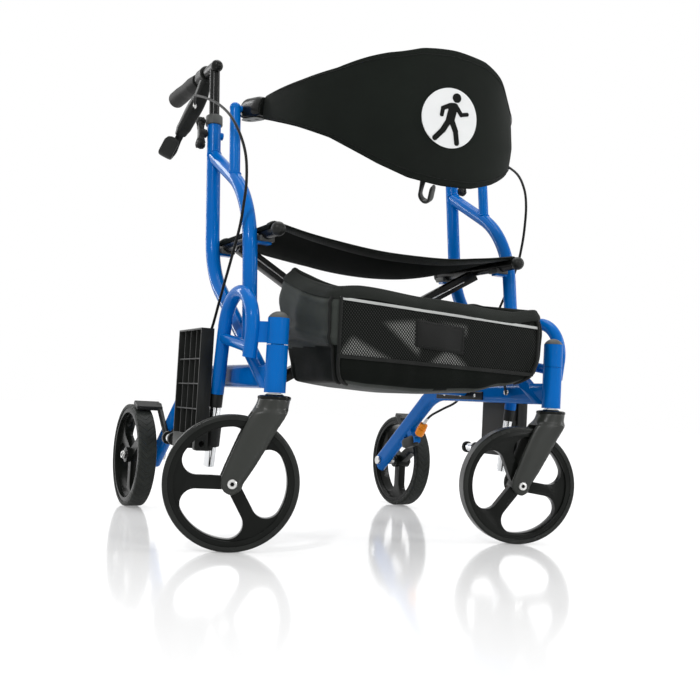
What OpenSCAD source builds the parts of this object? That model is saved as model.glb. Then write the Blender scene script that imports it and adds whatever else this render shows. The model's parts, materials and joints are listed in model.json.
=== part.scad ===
// Side-folding rollator that turns into a transport chair.
// Front is -Y, the user's left is +X, the floor is Z = 0.

/* [Layout] */
// Distance between the planes of the two side frames
frame_span = 532; // [500:2:580]
// Distance from the caster stems to the rear axle
wheelbase = 581; // [560:1:600]
// Height of the handlebar axis above the floor
handle_z = 846; // [830:1:900]
// Backward lean of the uprights, in degrees
lean = 8; // [4:0.5:10]

/* [Side frame] */
// Diameter of the upright and its diagonal
main_d = 25.4; // [24:0.1:28]
// Diameter of the curved front tube
front_d = 24.6; // [22:0.1:26]
// Diameter of the stub that carries the backrest
stub_d = 19; // [17:0.5:21]
// Height of the upright's top
upright_z = 730; // [715:1:745]
// Distance of the upright's top behind the frame's middle
upright_y = 63; // [50:1:75]
// Height of the upright's bend
bend_z = 449; // [440:1:470]
// Slope of the diagonal below the horizontal, in degrees
diag_slope = 35; // [33:0.5:36]
// Bend radius of the upright
main_bend = 150; // [100:5:170]
// Bend radius of the front tube
front_bend = 180; // [120:5:190]
// Height of the backrest hinge
hinge_z = 737; // [725:1:750]
// Height of the oval lower rail's axis
rail_z = 263; // [258:1:270]
// Height of the oval lower rail's section
rail_h = 38; // [32:1:40]
// Width of the oval lower rail's section
rail_w = 20; // [16:0.5:22]
// Diameter of the caster housing
housing_d = 33; // [31:0.5:36]
// Height of the housing's lower end
housing_low = 238; // [236:1:241]
// Height of the housing's upper end
housing_top = 310; // [302:1:318]

/* [Wheels] */
// Diameter of all four tyres
wheel_d = 203; // [195:1:205]
// Width of a caster tyre
caster_w = 30; // [26:1:32]
// Width of a rear tyre
rear_w = 35; // [30:1:38]
// Distance of a rear wheel's middle outside its frame plane
rear_out = 48; // [44:1:54]
// Radial height of the tyre and rim together
rim_t = 16.5; // [15:0.5:20]
// Trail of a caster
trail = 57; // [50:1:60]
// Turn of both casters in the stored pose, in degrees
caster_turn = 162; // [150:1:175]
// Diameter of the wheel axles
axle_d = 10; // [8:0.5:12]

/* [Braces and seat] */
// Clearance between a seat rail and the tubes of its side frame
rail_clear = 1.8; // [1:0.1:6]
// Diameter of a seat rail
seat_rail_d = 21; // [19:0.5:21]
// Height of the seat rails
seat_z = 502; // [490:1:510]
// Front end of the seat rails
seat_front = -205; // [-215:1:-190]
// Rear end of the seat rails
seat_rear = 45; // [35:1:55]
// Distance between the lower pivots of the braces
pivot_span = 340; // [330:2:350]
// Height of the lower pivots
pivot_z = 270; // [265:1:276]
// Sag of the seat sling in its middle
seat_sag = 40; // [25:1:42]
// Height of a brace bar
brace_h = 20; // [16:1:22]

/* [Hanger and footrest] */
// Diameter of the hanger tube
hanger_d = 22; // [21:0.5:24]
// Diameter of the chrome foot post
post_d = 18; // [16:0.5:18]
// Distance of the hanger tube outside its frame plane
hanger_out = 33; // [33:1:38]
// Backward lean of the hanger's legs, in degrees
hanger_lean = 9; // [6:0.5:11]
// Height of the footplate when flipped up
plate_h = 188; // [170:1:195]
// Length of the footplate along the chair
plate_l = 116; // [100:1:125]
// Thickness of the footplate
plate_t = 22; // [18:1:24]

/* [Handles and brakes] */
// Diameter of the handle post
handle_d = 19; // [17:0.5:20]
// Diameter of the handlebar
bar_d = 22; // [20:0.5:23]
// Diameter of the grip
grip_d = 34; // [30:0.5:36]
// Length of the grip
grip_l = 150; // [120:1:160]
// Diameter of the brake cable
cable_d = 5; // [3:0.5:6]

/* [Backrest and bag] */
// Height of the backrest in its middle
back_h = 234; // [200:2:244]
// Thickness of the padded backrest
back_t = 15; // [11:0.5:17]
// Reach of the backrest in front of its hinge
back_reach = 280; // [250:2:300]
// Width of the bag
bag_w = 396; // [360:2:400]
// Depth of the bag
bag_l = 184; // [150:2:190]
// Height of the bag's front
bag_h = 136; // [110:1:140]
// Thickness of the bag's walls
bag_wall = 3; // [2:0.5:4]

/* [Hidden] */
$fn = 64;
right = -1;
left = 1;
// Radial clearance of every running fit
run_gap = 0.05;
// Clearance of soft pieces and loose seats
soft_gap = 0.3;
frame_x = frame_span / 2;
stem_y = -wheelbase / 2;
axle_y = wheelbase / 2;
wheel_r = wheel_d / 2;
pivot_x = pivot_span / 2;
rail_r = seat_rail_d / 2;
main_r = main_d / 2;
seat_x = frame_x - main_r - rail_clear - rail_r;
front_r = front_d / 2;
// Scissor geometry: pivots, middle bolt and upper ends lie on straight lines
brace_slope = atan((seat_z - pivot_z) / (seat_x + pivot_x));
middle_z = pivot_z + pivot_x * tan(brace_slope);
brace_len = (seat_x + pivot_x) / cos(brace_slope);
brace_t = 20;
brace_drop = 8;
brace_a_y = -70;
brace_b_y = -40;
brace_pin_r = 5;
brace_eye_r = 13;
ear_t = 5;
ear_r = 8;
brace_gap = 0.4;
bolt_head_t = 5.6;
bolt_head_r = brace_pin_r + 4;
// Saddles under the seat rails, and the sling between them
saddle_wall = 4;
saddle_l = 28;
cap_r = rail_r + 1.5;
cap_out = 5;
saddle_low = seat_z - rail_r - saddle_wall;
tab_l = 14;
seat_half = seat_x - rail_r - soft_gap;
seat_cloth = 3;
saddle_top = seat_z - seat_cloth - 2;
hem_sag = 13;
seat_cols = 16;
seat_rows = 12;
// Upright, diagonal and front tube as corners in the side plane, [y, z]
function upright_at(z) = upright_y + (z - upright_z) * tan(lean);
main_corner = [upright_at(bend_z), bend_z];
function diag_at(y) = bend_z - (main_corner[0] - y) * tan(diag_slope);
front_drop = 58;
front_top_z = upright_z - front_drop;
front_slope = 28.5;
front_run = 197;
front_top = [upright_at(front_top_z), front_top_z];
front_corner = front_top - front_run * [1, tan(front_slope)];
function front_at(z) = front_corner[0] + (z - front_corner[1]) * tan(lean);
// Height where the front tube meets the diagonal
front_foot_z = diag_at(front_corner[0] - front_corner[1] * tan(lean))
    / (1 - tan(lean) * tan(diag_slope));
stub_run = 118;
stub_foot = front_top - stub_run * [1, tan(front_slope)];
function stub_at(z) = stub_foot[0] + (z - stub_foot[1]) * tan(lean);
hinge_y = stub_at(hinge_z);
hinge_pin_r = 6;
hinge_pin_l = 36;
// Weld bands over the seams of bent bars
weld_l = 3;
weld_grow = 1.012;
// Lower rail and rear leg
leg_slope = 38;
leg_bend = 120;
leg_corner_y = axle_y - (rail_z - wheel_r) / tan(leg_slope);
leg_tail = 14;
// Lug under the leg with the brake's pin, and the tab that holds the cable's end, [y, z]
leg_down = [-sin(leg_slope), -cos(leg_slope)];
brake_pivot = [axle_y - 100.5, wheel_r + 44.5];
lug_drop = 26;
cable_tab = brake_pivot + [-29.5, 13.5];
tab_drop = 34;
cable_tab_r = 8;
cable_tab_t = 15;
brake_pin_r = 4;
// Brake arm beside the leg, with a flat shoe over the tyre
brake_arm_t = 8;
brake_arm_r = 6.5;
shoe_gap = 2.5;
shoe_at = 112;
shoe_half = 15;
shoe_t = 9;
shoe_hub_r = 9;
// Caster housing, stem and hanger spigot
stem_r = 8;
stem_top = housing_top - 12;
spigot_r = 10;
collar_h = 40;
collar_low = housing_top + 1;
collar_top = collar_low + collar_h;
crown_z = housing_low - 7;
crown_low = wheel_d + 3;
fork_gap = 3;
blade_t = 7;
blade_boss = 17;
blade_in = caster_w / 2 + fork_gap;
// Wheel hubs and axle ends
hub_r = 15;
spoke_w = 20;
spoke_t = 16;
spoke_corner = 22;
// Turn of the spokes in the stored pose, in degrees
rear_phase = 60;
right_phase = -30;
left_phase = 22;
shoulder = rim_t * 0.22;
nut_r = 9;
// Handle
collar_band = 18;
post_inset = 150;
bar_front = 68;
bar_rear = 306;
grip_rear = 318;
knob_z = upright_z - 18;
knob_y = upright_at(knob_z);
knob_screw_r = 3;
knob_boss_r = 7;
knob_wing = 21;
knob_out = main_r + 18;
cable_out = frame_x + knob_out + cable_d / 2 + 2;
bar_y = upright_at(handle_z);
// Brake lever and its housing, as points of the side plane, [y, z]
clamp_y = 134;
clamp_wall = 4;
lever_slope = 50;
lever_l = 138;
lever_way = [cos(lever_slope), -sin(lever_slope)];
lever_pivot = [clamp_y + 14, handle_z - 34];
lever_end = lever_pivot + lever_l * lever_way;
lever_tip = lever_pivot + 88 * lever_way;
lever_pin_r = 3;
lever_t = 5;
lever_play = 0.5;
lever_r = 8;
hook_r = 15;
housing_t = 18;
housing_r = 13;
cable_root = [clamp_y + 16, handle_z - 58];
slot_r = 18;
// Brake cable from the lever housing, outside the frame, to the rear brake
cable_route = [
    [frame_x + 11.8, cable_root[0], cable_root[1]], [frame_x + 26, clamp_y - 26, handle_z - 54],
    [cable_out, bar_y - 5, handle_z - 62], [cable_out, bar_y - 69, handle_z - 84],
    [cable_out, -60, 732], [frame_x + 34, -118, 698], [frame_x + 28, -152, 660],
    [frame_x + 22, -168, 622], [frame_x + 19, -170, 580], [frame_x + 19, -164, 545],
    [frame_x + 19, -152, 508], [frame_x + 19, -124, 462], [frame_x + 19, -84, 402],
    [frame_x + 20, -58, 356], [frame_x + 22, -42, rail_z + 63], [frame_x + 20, -14, rail_z + 17],
    [frame_x + 18, leg_corner_y - 56, rail_z - 19], [frame_x + 14, leg_corner_y - 10, rail_z - 37],
    [frame_x + 8, leg_corner_y + 26, rail_z - 53], [frame_x + 4, leg_corner_y + 43.7, rail_z - 70.5]
];
cable_end = cable_route[len(cable_route) - 1];
cable_steps = 3;
cable_sides = 8;
adjuster_low = cable_end + [-2, 16.5, -24];
adjuster_r = 8;
adjuster_tip = 6;
adjuster_way = (adjuster_low - cable_end) / norm(adjuster_low - cable_end);
// Foot of the adjuster's seat on the cable's tab, [y, z]
adjuster_foot = [for (k = [1, 2])
    adjuster_low[k] + (adjuster_tip + cable_tab_r + run_gap) * adjuster_way[k]];
// Hanger: tilted U in its own plane; its rear leg carries the foot post
hanger_x = frame_x + hanger_out;
hanger_z = 343;
hanger_back = 142;
hanger_y = stem_y + hanger_back;
hanger_span = 121;
hanger_leg = 112;
post_low = 233;
post_high = 80;
gusset_t = 12;
cross_r = 9;
cross_z = -20;
sleeve_l = 22;
clamp_h = 44;
clamp_up = 18;
post_wall = 4.5;
clamp_half = 9;
peg_l = 34;
plate_back = 151;
plate_front = stem_y + plate_back;
plate_wall = 3;
rib_t = 2;
plate_foot = 24;
flip_out = 24;
flip_x = hanger_x + flip_out;
flip_z = 150;
// Place of the foot post's axis at the flip axis's height
at_post = hanger_y + (hanger_z - flip_z) * tan(hanger_lean);
flip_pin_r = 5;
// Notch in the footplate for the clamp, over the flip axis
notch_x = 20;
notch_z = 19;
// Backrest band in plan: a superellipse from hinge to hinge
band_power = 2.5;
band_x = frame_x - hinge_pin_l + 4;
band_tilt = 7.5;
band_steps = 16;
disc_d = 100;
band_u_end = 0.905;
// Half height of the band over the plan parameter, as a share of its middle
band_profile = [[0, 1], [0.12, 0.96], [0.26, 0.81], [0.42, 0.6], [0.5, 0.49], [0.68, 0.36],
    [0.82, 0.27], [1, 0.15]];
knuckle_r = 17;
knuckle_w = 24;
// Bag
bag_front = -341;
bag_low = 259;
bag_rise = 26;
bag_round = 18;
bag_tab_l = 26;
bag_tab_t = 3;

// Draws its children, modelled on the left, on the given side
module on_side(side) {
    mirror([side < 0 ? 1 : 0, 0, 0]) children();
}

// Local x is the chair's Y, local y is its Z and local z is its X
module side_plane(x) {
    translate([x, 0, 0]) rotate([90, 0, 90]) children();
}

// Cylinder between two points
module rod(p, q, r) {
    d = q - p;
    translate(p) rotate([0, acos(d[2] / norm(d)), atan2(d[1], d[0])]) cylinder(h = norm(d), r = r);
}

// Cylinder along X between two places
module x_rod(x0, x1, y, z, r) {
    translate([x0, y, z]) rotate([0, 90, 0]) cylinder(h = x1 - x0, r = r);
}

// Cylinder along Y between two places
module y_rod(y0, y1, x, z, r) {
    translate([x, y1, z]) rotate([90, 0, 0]) cylinder(h = y1 - y0, r = r);
}

// Box between two corners
module block(low, high) {
    translate(low) cube(high - low);
}

function heading(p, q) = atan2(q[1] - p[1], q[0] - p[0]);
function wrap(a) = a > 180 ? a - 360 : a < -180 ? a + 360 : a;
function turn(pts, i) = wrap(heading(pts[i], pts[i + 1]) - heading(pts[i - 1], pts[i]));
function set_back(pts, bend, i) =
    i == 0 || i == len(pts) - 1 ? 0 : bend * tan(abs(turn(pts, i)) / 2);

// Bent bar along corners of the side plane; its child is the 2-D section.
// A hair-thick weld band covers each seam between a straight run and a bend.
module bent(pts, bend) {
    last = len(pts) - 1;
    for (i = [0 : last - 1]) {
        from = set_back(pts, bend, i);
        run = norm(pts[i + 1] - pts[i]) - from - set_back(pts, bend, i + 1);
        along(pts, i, from) linear_extrude(run) children();
        if (i > 0) along(pts, i, from - weld_l / 2) linear_extrude(weld_l) scale(weld_grow) children();
        if (i < last - 1) along(pts, i, from + run - weld_l / 2)
            linear_extrude(weld_l) scale(weld_grow) children();
    }
    for (i = [1 : 1 : last - 1]) {
        sweep = turn(pts, i);
        way = heading(pts[i - 1], pts[i]);
        hand = sweep > 0 ? 1 : -1;
        start = pts[i] - set_back(pts, bend, i) * [cos(way), sin(way)];
        hub = start + hand * bend * [-sin(way), cos(way)];
        from = way - hand * 90;
        translate([hub[0], hub[1], 0]) rotate([0, 0, min(from, from + sweep)])
            rotate_extrude(angle = abs(sweep)) translate([bend, 0]) children();
    }
}

// Puts a section at a distance along one straight run of a bent bar
module along(pts, i, distance) {
    translate([pts[i][0], pts[i][1], 0]) rotate([0, 0, heading(pts[i], pts[i + 1])])
        translate([distance, 0, 0]) rotate([90, 0, 90]) children();
}

// Stadium section, long along local x
module oval(length, width) {
    square([length - width, width], center = true);
    for (s = [-1, 1]) translate([s * (length - width) / 2, 0]) circle(d = width);
}

// Stadium between two 2-D points
module slot2d(p, q, r) {
    d = q - p;
    n = r * [-d[1], d[0]] / norm(d);
    polygon([p + n, q + n, q - n, p - n]);
    translate(p) circle(r);
    translate(q) circle(r);
}

// Side frame

module frame(side) {
    color("royalblue") on_side(side) difference() {
        union() {
            frame_tubes();
            frame_housing();
            brace_foot(side);
            frame_tabs();
        }
        // Bore of the upright for the handle post
        rod([frame_x, upright_at(upright_z - post_inset - 40), upright_z - post_inset - 40],
            [frame_x, upright_at(upright_z + 40), upright_z + 40], handle_d / 2 + run_gap);
        // Hole of the clamping screw, through both walls
        x_rod(frame_x - main_d, frame_x + main_d, knob_y, knob_z, knob_screw_r);
        // Blind bore of the caster stem
        translate([frame_x, stem_y, housing_low - 1])
            cylinder(h = stem_top + 1 - housing_low + 1, r = stem_r + run_gap);
        // Hole of the rear axle
        x_rod(frame_x - rail_w, frame_x + rail_w, axle_y, wheel_r, axle_d / 2 + run_gap);
    }
}

module frame_tubes() {
    foot = [stem_y + 6, diag_at(stem_y + 6)];
    top = [upright_at(upright_z), upright_z];
    difference() {
        side_plane(frame_x) bent([top, main_corner, foot], main_bend) circle(main_r);
        block([0, stem_y - 60, 0], [frame_x + 60, 0, rail_z - rail_h / 2 + 0.5]);
    }
    front_foot = [front_at(front_foot_z), front_foot_z];
    side_plane(frame_x) bent([front_top, front_corner, front_foot], front_bend) circle(front_r);
    rod([frame_x, stub_foot[0], stub_foot[1]], [frame_x, hinge_y, hinge_z], stub_d / 2);
    translate([frame_x, hinge_y, hinge_z]) sphere(d = stub_d + 1);
    x_rod(frame_x - hinge_pin_l, frame_x, hinge_y, hinge_z, hinge_pin_r);
    tail = [axle_y, wheel_r] + leg_tail * [cos(leg_slope), -sin(leg_slope)];
    side_plane(frame_x) bent([[stem_y + 8, rail_z], [leg_corner_y, rail_z], tail], leg_bend)
        oval(rail_h, rail_w);
}

module frame_housing() {
    translate([frame_x, stem_y, housing_low]) cylinder(h = housing_top - housing_low, d = housing_d);
    translate([frame_x, stem_y, housing_top - 1]) cylinder(h = collar_h - 3, r = spigot_r);
}

// Arm from the lower rail to the brace's lower pivot, with a forked end and its pin
module brace_foot(side) {
    y = side < 0 ? brace_a_y : brace_b_y;
    half = brace_t / 2 + brace_gap;
    x_rod(pivot_x + brace_eye_r + 6, frame_x, y, rail_z, ear_r);
    block([pivot_x + brace_eye_r + 2, y - half - ear_t, rail_z - ear_r],
          [pivot_x + brace_eye_r + 8, y + half + ear_t, pivot_z + ear_r]);
    for (s = [-1, 1]) translate([0, y + s * (half + ear_t / 2) + ear_t / 2, 0]) rotate([90, 0, 0])
        linear_extrude(ear_t)
            slot2d([pivot_x, pivot_z], [pivot_x + brace_eye_r + 4, pivot_z], ear_r);
    y_rod(y - half - ear_t, y + half + ear_t, pivot_x, pivot_z, brace_pin_r);
}

// Saddle tabs, screw boss, the cable's tab and the brake's pin
module frame_tabs() {
    for (y = saddle_places())
        block([seat_x - rail_r, y - tab_l / 2, saddle_low - 4], [frame_x, y + tab_l / 2, saddle_low]);
    x_rod(frame_x - main_r - 4, frame_x, knob_y, knob_z, knob_boss_r);
    side_plane(frame_x - cable_tab_t / 2) linear_extrude(cable_tab_t) {
        slot2d(brake_pivot - lug_drop * leg_down, brake_pivot, shoe_hub_r);
        slot2d(cable_tab - tab_drop * leg_down, cable_tab, cable_tab_r);
        slot2d(cable_tab, adjuster_foot, cable_tab_r);
    }
    x_rod(frame_x, frame_x + rail_w / 2 + brake_arm_t + 2.5, brake_pivot[0], brake_pivot[1], brake_pin_r);
}

function saddle_places() = [front_at(saddle_low), upright_at(saddle_low)];

// Open-topped cradles that the seat rail drops into
module saddles(side) {
    color("dimgray") on_side(side)
        for (y = saddle_places()) difference() {
            block([seat_x - rail_r - 3, y - saddle_l / 2, saddle_low],
                  [frame_x - main_r - soft_gap, y + saddle_l / 2, saddle_top]);
            y_rod(y - saddle_l, y + saddle_l, seat_x, seat_z, rail_r + soft_gap);
            for (end = [seat_front - cap_out, seat_rear + cap_out])
                translate([seat_x, end, seat_z]) sphere(r = cap_r + soft_gap);
        }
}

// Braces and seat

// Bar from a lower pivot, up past the middle bolt, to the rail on the other side
module brace(side, y) {
    color("black") on_side(side) {
        difference() {
            translate([-pivot_x, y + brace_t / 2, pivot_z]) rotate([90, 0, 0]) linear_extrude(brace_t)
                rotate(brace_slope) brace_outline();
            for (x = [-pivot_x, 0]) y_rod(y - brace_t, y + brace_t, x,
                pivot_z + (x + pivot_x) * tan(brace_slope), brace_pin_r + run_gap);
        }
        y_rod(seat_front, seat_rear, seat_x, seat_z, rail_r);
    }
}

module brace_outline() {
    translate([0, -brace_drop - brace_h / 2]) square([brace_len - 4, brace_h]);
    circle(brace_eye_r - 1);
    translate([pivot_x / cos(brace_slope), 0]) circle(brace_eye_r);
}

module brace_bolt() {
    front = brace_a_y - brace_t / 2;
    rear = brace_b_y + brace_t / 2;
    color("silver") {
        y_rod(front - 1, rear + 1, 0, middle_z, brace_pin_r);
        y_rod(front - brace_gap - bolt_head_t, front - brace_gap, 0, middle_z, bolt_head_r);
        y_rod(rear + brace_gap, rear + brace_gap + bolt_head_t, 0, middle_z, bolt_head_r);
        y_rod(brace_a_y + brace_t / 2 + brace_gap, brace_b_y - brace_t / 2 - brace_gap, 0, middle_z,
              bolt_head_r);
    }
}

// Ball caps on both ends of a seat rail
module rail_caps(side) {
    color("black") on_side(side) {
        difference() {
            translate([seat_x, seat_front - cap_out, seat_z]) sphere(r = cap_r);
            block([0, seat_front, 0], [frame_x * 2, seat_front + 60, seat_z * 2]);
        }
        difference() {
            translate([seat_x, seat_rear + cap_out, seat_z]) sphere(r = cap_r);
            block([0, seat_rear - 60, 0], [frame_x * 2, seat_rear, seat_z * 2]);
        }
    }
}

function seat_drop(u, v) = (hem_sag + (seat_sag - hem_sag) * sin(180 * v)) * (1 - pow(2 * u - 1, 2));
function seat_point(u, v, dz) = [
    seat_half * (2 * u - 1),
    seat_front + 4 + v * (seat_rear - seat_front - 8),
    seat_z - seat_drop(u, v) + dz
];

// Sling that hangs between the rails, taut at both hems
module seat_sling() {
    color("black") grid_solid(
        [for (j = [0 : seat_rows]) [for (i = [0 : seat_cols])
            seat_point(i / seat_cols, j / seat_rows, 0)]],
        [for (j = [0 : seat_rows]) [for (i = [0 : seat_cols])
            seat_point(i / seat_cols, j / seat_rows, -seat_cloth)]]);
}

// Closed solid between two grids of points, the first one above the second
module grid_solid(top, low) {
    rows = len(top);
    cols = len(top[0]);
    n = rows * cols;
    pts = concat([for (r = top) for (p = r) p], [for (r = low) for (p = r) p]);
    function at(j, i) = j * cols + i;
    rim = concat(
        [for (i = [0 : cols - 1]) at(0, i)],
        [for (j = [1 : rows - 1]) at(j, cols - 1)],
        [for (i = [1 : cols - 1]) at(rows - 1, cols - 1 - i)],
        [for (j = [1 : rows - 2]) at(rows - 1 - j, 0)]);
    m = len(rim);
    faces = concat(
        [for (j = [0 : rows - 2]) for (i = [0 : cols - 2]) each [
            [at(j, i), at(j + 1, i), at(j + 1, i + 1)],
            [at(j, i), at(j + 1, i + 1), at(j, i + 1)]]],
        [for (j = [0 : rows - 2]) for (i = [0 : cols - 2]) each [
            [n + at(j, i), n + at(j + 1, i + 1), n + at(j + 1, i)],
            [n + at(j, i), n + at(j, i + 1), n + at(j + 1, i + 1)]]],
        [for (k = [0 : m - 1]) each [
            [rim[k], rim[(k + 1) % m], n + rim[k]],
            [n + rim[k], rim[(k + 1) % m], n + rim[(k + 1) % m]]]]);
    polyhedron(pts, faces, convexity = 6);
}

// Bag

// Open-topped bag in front of the braces, tied to both lower rails
module bag() {
    color("#1c1d1c") {
        difference() {
            bag_body(bag_w / 2, 0, 0);
            bag_body(bag_w / 2 - bag_wall, bag_wall, 60);
        }
        tab_y = bag_front + bag_l - bag_tab_l - 8;
        for (s = [left, right]) on_side(s)
            block([bag_w / 2 - 2 * bag_wall, tab_y, bag_low],
                  [frame_x - rail_w / 2 - soft_gap, tab_y + bag_tab_l, bag_low + bag_tab_t]);
    }
}

module bag_body(half, inset, extra) {
    rear = bag_front + bag_l;
    side_plane(-half) linear_extrude(2 * half) union() {
        polygon([
            [bag_front + inset, bag_low + bag_round], [bag_front + bag_round, bag_low + inset],
            [rear - inset, bag_low + inset], [rear - inset, bag_low + bag_h + bag_rise + extra],
            [bag_front + inset, bag_low + bag_h + extra]]);
        translate([bag_front + bag_round, bag_low + bag_round]) circle(bag_round - inset);
    }
}

// Handles and brakes

// Plastic bush on top of the upright
module collar(side) {
    top = upright_z + collar_band;
    color("#3c3c3a") on_side(side) difference() {
        rod([frame_x, upright_at(upright_z), upright_z] + lean_up(0.2),
            [frame_x, upright_at(top), top], main_r + 3);
        rod([frame_x, upright_at(upright_z - 20), upright_z - 20],
            [frame_x, upright_at(top + 20), top + 20], handle_d / 2 + run_gap);
    }
}

function lean_up(d) = d * [0, sin(lean), cos(lean)];

// Wing knob whose screw clamps the handle post
module knob(side) {
    color("#202020") on_side(side) {
        x_rod(frame_x + handle_d / 2 + 0.5, frame_x + main_r + 2.5, knob_y, knob_z, knob_screw_r - run_gap);
        x_rod(frame_x + main_r + 2, frame_x + main_r + 16, knob_y, knob_z, 8);
        side_plane(frame_x + knob_out - 9) linear_extrude(9)
            slot2d([knob_y - 3, knob_z - knob_wing], [knob_y + 3, knob_z + knob_wing], 6);
    }
}

// Post that slides in the upright, with the handlebar welded across its top
module handle(side) {
    low = upright_z - post_inset;
    color("#262624") on_side(side) {
        rod([frame_x, upright_at(low), low], [frame_x, bar_y, handle_z], handle_d / 2);
        y_rod(bar_front, bar_rear, frame_x, handle_z, bar_d / 2);
        translate([frame_x, bar_front, handle_z]) sphere(d = bar_d + 0.6);
    }
}

// Rubber grip, swollen where the palm rests
module grip(side) {
    color("#1b1b1a") on_side(side) translate([frame_x, grip_rear, handle_z]) rotate([90, 0, 0])
        difference() {
            rotate_extrude() polygon([
                [0, 0], [grip_d / 2 - 4, 0], [grip_d / 2, 4], [grip_d / 2, grip_l * 0.25],
                [grip_d / 2 - 1.5, grip_l * 0.5], [grip_d / 2 - 0.5, grip_l * 0.75],
                [grip_d / 2 - 3, grip_l - 2], [grip_d / 2 - 5, grip_l], [0, grip_l]]);
            translate([0, 0, grip_rear - bar_rear]) cylinder(h = grip_l, r = bar_d / 2 + run_gap);
        }
}

// Housing clamped to the handlebar; the lever turns on its pin inside the slot
module lever_housing(side) {
    color("#2a2b2a") on_side(side) {
        difference() {
            union() {
                side_plane(frame_x - housing_t / 2) linear_extrude(housing_t) {
                    slot2d([clamp_y + 4, handle_z - 14], lever_tip, housing_r);
                    slot2d([clamp_y - 4, handle_z - 16], cable_root, housing_r);
                }
                y_rod(clamp_y - 14, clamp_y + 18, frame_x, handle_z, bar_d / 2 + clamp_wall);
            }
            y_rod(clamp_y - 30, clamp_y + 40, frame_x, handle_z, bar_d / 2 + run_gap);
            side_plane(frame_x - lever_t / 2 - lever_play) linear_extrude(lever_t + 2 * lever_play)
                for (k = [0, 60, 120]) slot2d(lever_pivot, lever_end + [k, 0], slot_r);
        }
        x_rod(frame_x - housing_t / 2, frame_x + housing_t / 2, lever_pivot[0], lever_pivot[1], lever_pin_r);
    }
}

// Flat lever with a hooked paddle on its outer side
module lever(side) {
    front = lever_end[0] - 20;
    rear = lever_end[0] + 14;
    mid_z = lever_end[1] - 2;
    color("#232423") on_side(side) {
        difference() {
            side_plane(frame_x - lever_t / 2) linear_extrude(lever_t) slot2d(lever_pivot, lever_end, lever_r);
            x_rod(frame_x - lever_t, frame_x + lever_t, lever_pivot[0], lever_pivot[1],
                  lever_pin_r + run_gap);
        }
        difference() {
            block([frame_x - lever_t / 2, front, lever_end[1] - hook_r - lever_t],
                  [frame_x + 2 * hook_r + lever_t / 2, rear, lever_end[1] + 2 * hook_r]);
            y_rod(front - 20, rear + 20, frame_x + hook_r, mid_z, hook_r - lever_t / 2);
            block([frame_x + lever_t / 2, front - 20, mid_z],
                  [frame_x + 2 * hook_r - lever_t / 2, rear + 20, mid_z + 4 * hook_r]);
            block([frame_x - lever_t, front - 20, mid_z + 4],
                  [frame_x + hook_r, rear + 20, mid_z + 4 * hook_r]);
        }
    }
}

function knot(i) = cable_route[max(0, min(len(cable_route) - 1, i))];
// Smooth curve through the route's points
function curve(i, t) = let (a = knot(i - 1), b = knot(i), c = knot(i + 1), d = knot(i + 2))
    0.5 * (2 * b + (c - a) * t + (2 * a - 5 * b + 4 * c - d) * t * t + (3 * b - a - 3 * c + d) * t * t * t);
cable_line = concat(
    [for (i = [0 : len(cable_route) - 2]) for (k = [0 : cable_steps - 1]) curve(i, k / cable_steps)],
    [cable_end]);

module cable(side) {
    last = len(cable_line) - 1;
    n = cable_sides;
    rings = [for (k = [0 : last])
        let (ahead = cable_line[min(last, k + 1)] - cable_line[max(0, k - 1)],
             way = ahead / norm(ahead),
             across = cross(way, [1, 0, 0]) / norm(cross(way, [1, 0, 0])),
             up = cross(across, way))
        [for (s = [0 : n - 1])
            cable_line[k] + cable_d / 2 * (cos(360 * s / n) * across + sin(360 * s / n) * up)]];
    faces = concat(
        [for (k = [0 : last - 1]) for (s = [0 : n - 1]) let (e = (s + 1) % n) each [
            [k * n + s, k * n + n + s, k * n + e], [k * n + e, k * n + n + s, k * n + n + e]]],
        [for (s = [1 : n - 2]) [0, s, s + 1]],
        [for (s = [1 : n - 2]) [last * n, last * n + s + 1, last * n + s]]);
    color("#33312d") on_side(side)
        polyhedron([for (r = rings) for (p = r) p], faces, convexity = 8);
}

// Barrel adjuster where the cable ends, on the leg's underside
module cable_adjuster(side) {
    color("darkorange") on_side(side) {
        rod(cable_end + adjuster_way * soft_gap, adjuster_low, adjuster_r);
        rod(adjuster_low - adjuster_way, adjuster_low + adjuster_way * adjuster_tip, adjuster_r - 2);
    }
}

// Arm on the lug's pin, with a shoe just over the tyre
module brake_shoe(side) {
    inner = frame_x + rail_w / 2 + 0.5;
    outer = frame_x + rear_out + rear_w / 2 - 3;
    ray = [cos(shoe_at), sin(shoe_at)];
    across = shoe_half * [-ray[1], ray[0]];
    face = [axle_y, wheel_r] + (wheel_r + shoe_gap) * ray;
    back = face + shoe_t * ray;
    color("#1e1f1e") on_side(side) difference() {
        union() {
            side_plane(inner) linear_extrude(brake_arm_t) {
                slot2d(brake_pivot, face + shoe_t / 2 * ray, brake_arm_r);
                translate(brake_pivot) circle(shoe_hub_r);
            }
            side_plane(inner + 1) linear_extrude(outer - inner - 1)
                polygon([face - across, face + across, back + across, back - across]);
        }
        x_rod(inner - 1, inner + brake_arm_t + 1, brake_pivot[0], brake_pivot[1], brake_pin_r + run_gap);
    }
}

// Wheels

// One window between two spokes, with wide round corners at the rim
module spoke_window(r_in) {
    c = spoke_corner;
    reach = r_in - c;
    a = 60 - asin((spoke_w / 2 + c) / reach);
    tip = [spoke_w / 2 / sin(60), 0];
    edge = c * [-sin(60), cos(60)];
    high = reach * [cos(a), sin(a)];
    low = [high[0], -high[1]];
    polygon([tip, low + [edge[0], -edge[1]], low, high, high + edge]);
    translate(high) circle(c);
    translate(low) circle(c);
    intersection() {
        difference() {
            circle(r_in);
            circle(hub_r + 5);
        }
        polygon([[0, 0], 2 * r_in * [cos(a), -sin(a)], [3 * r_in, 0], 2 * r_in * [cos(a), sin(a)]]);
    }
}

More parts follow.
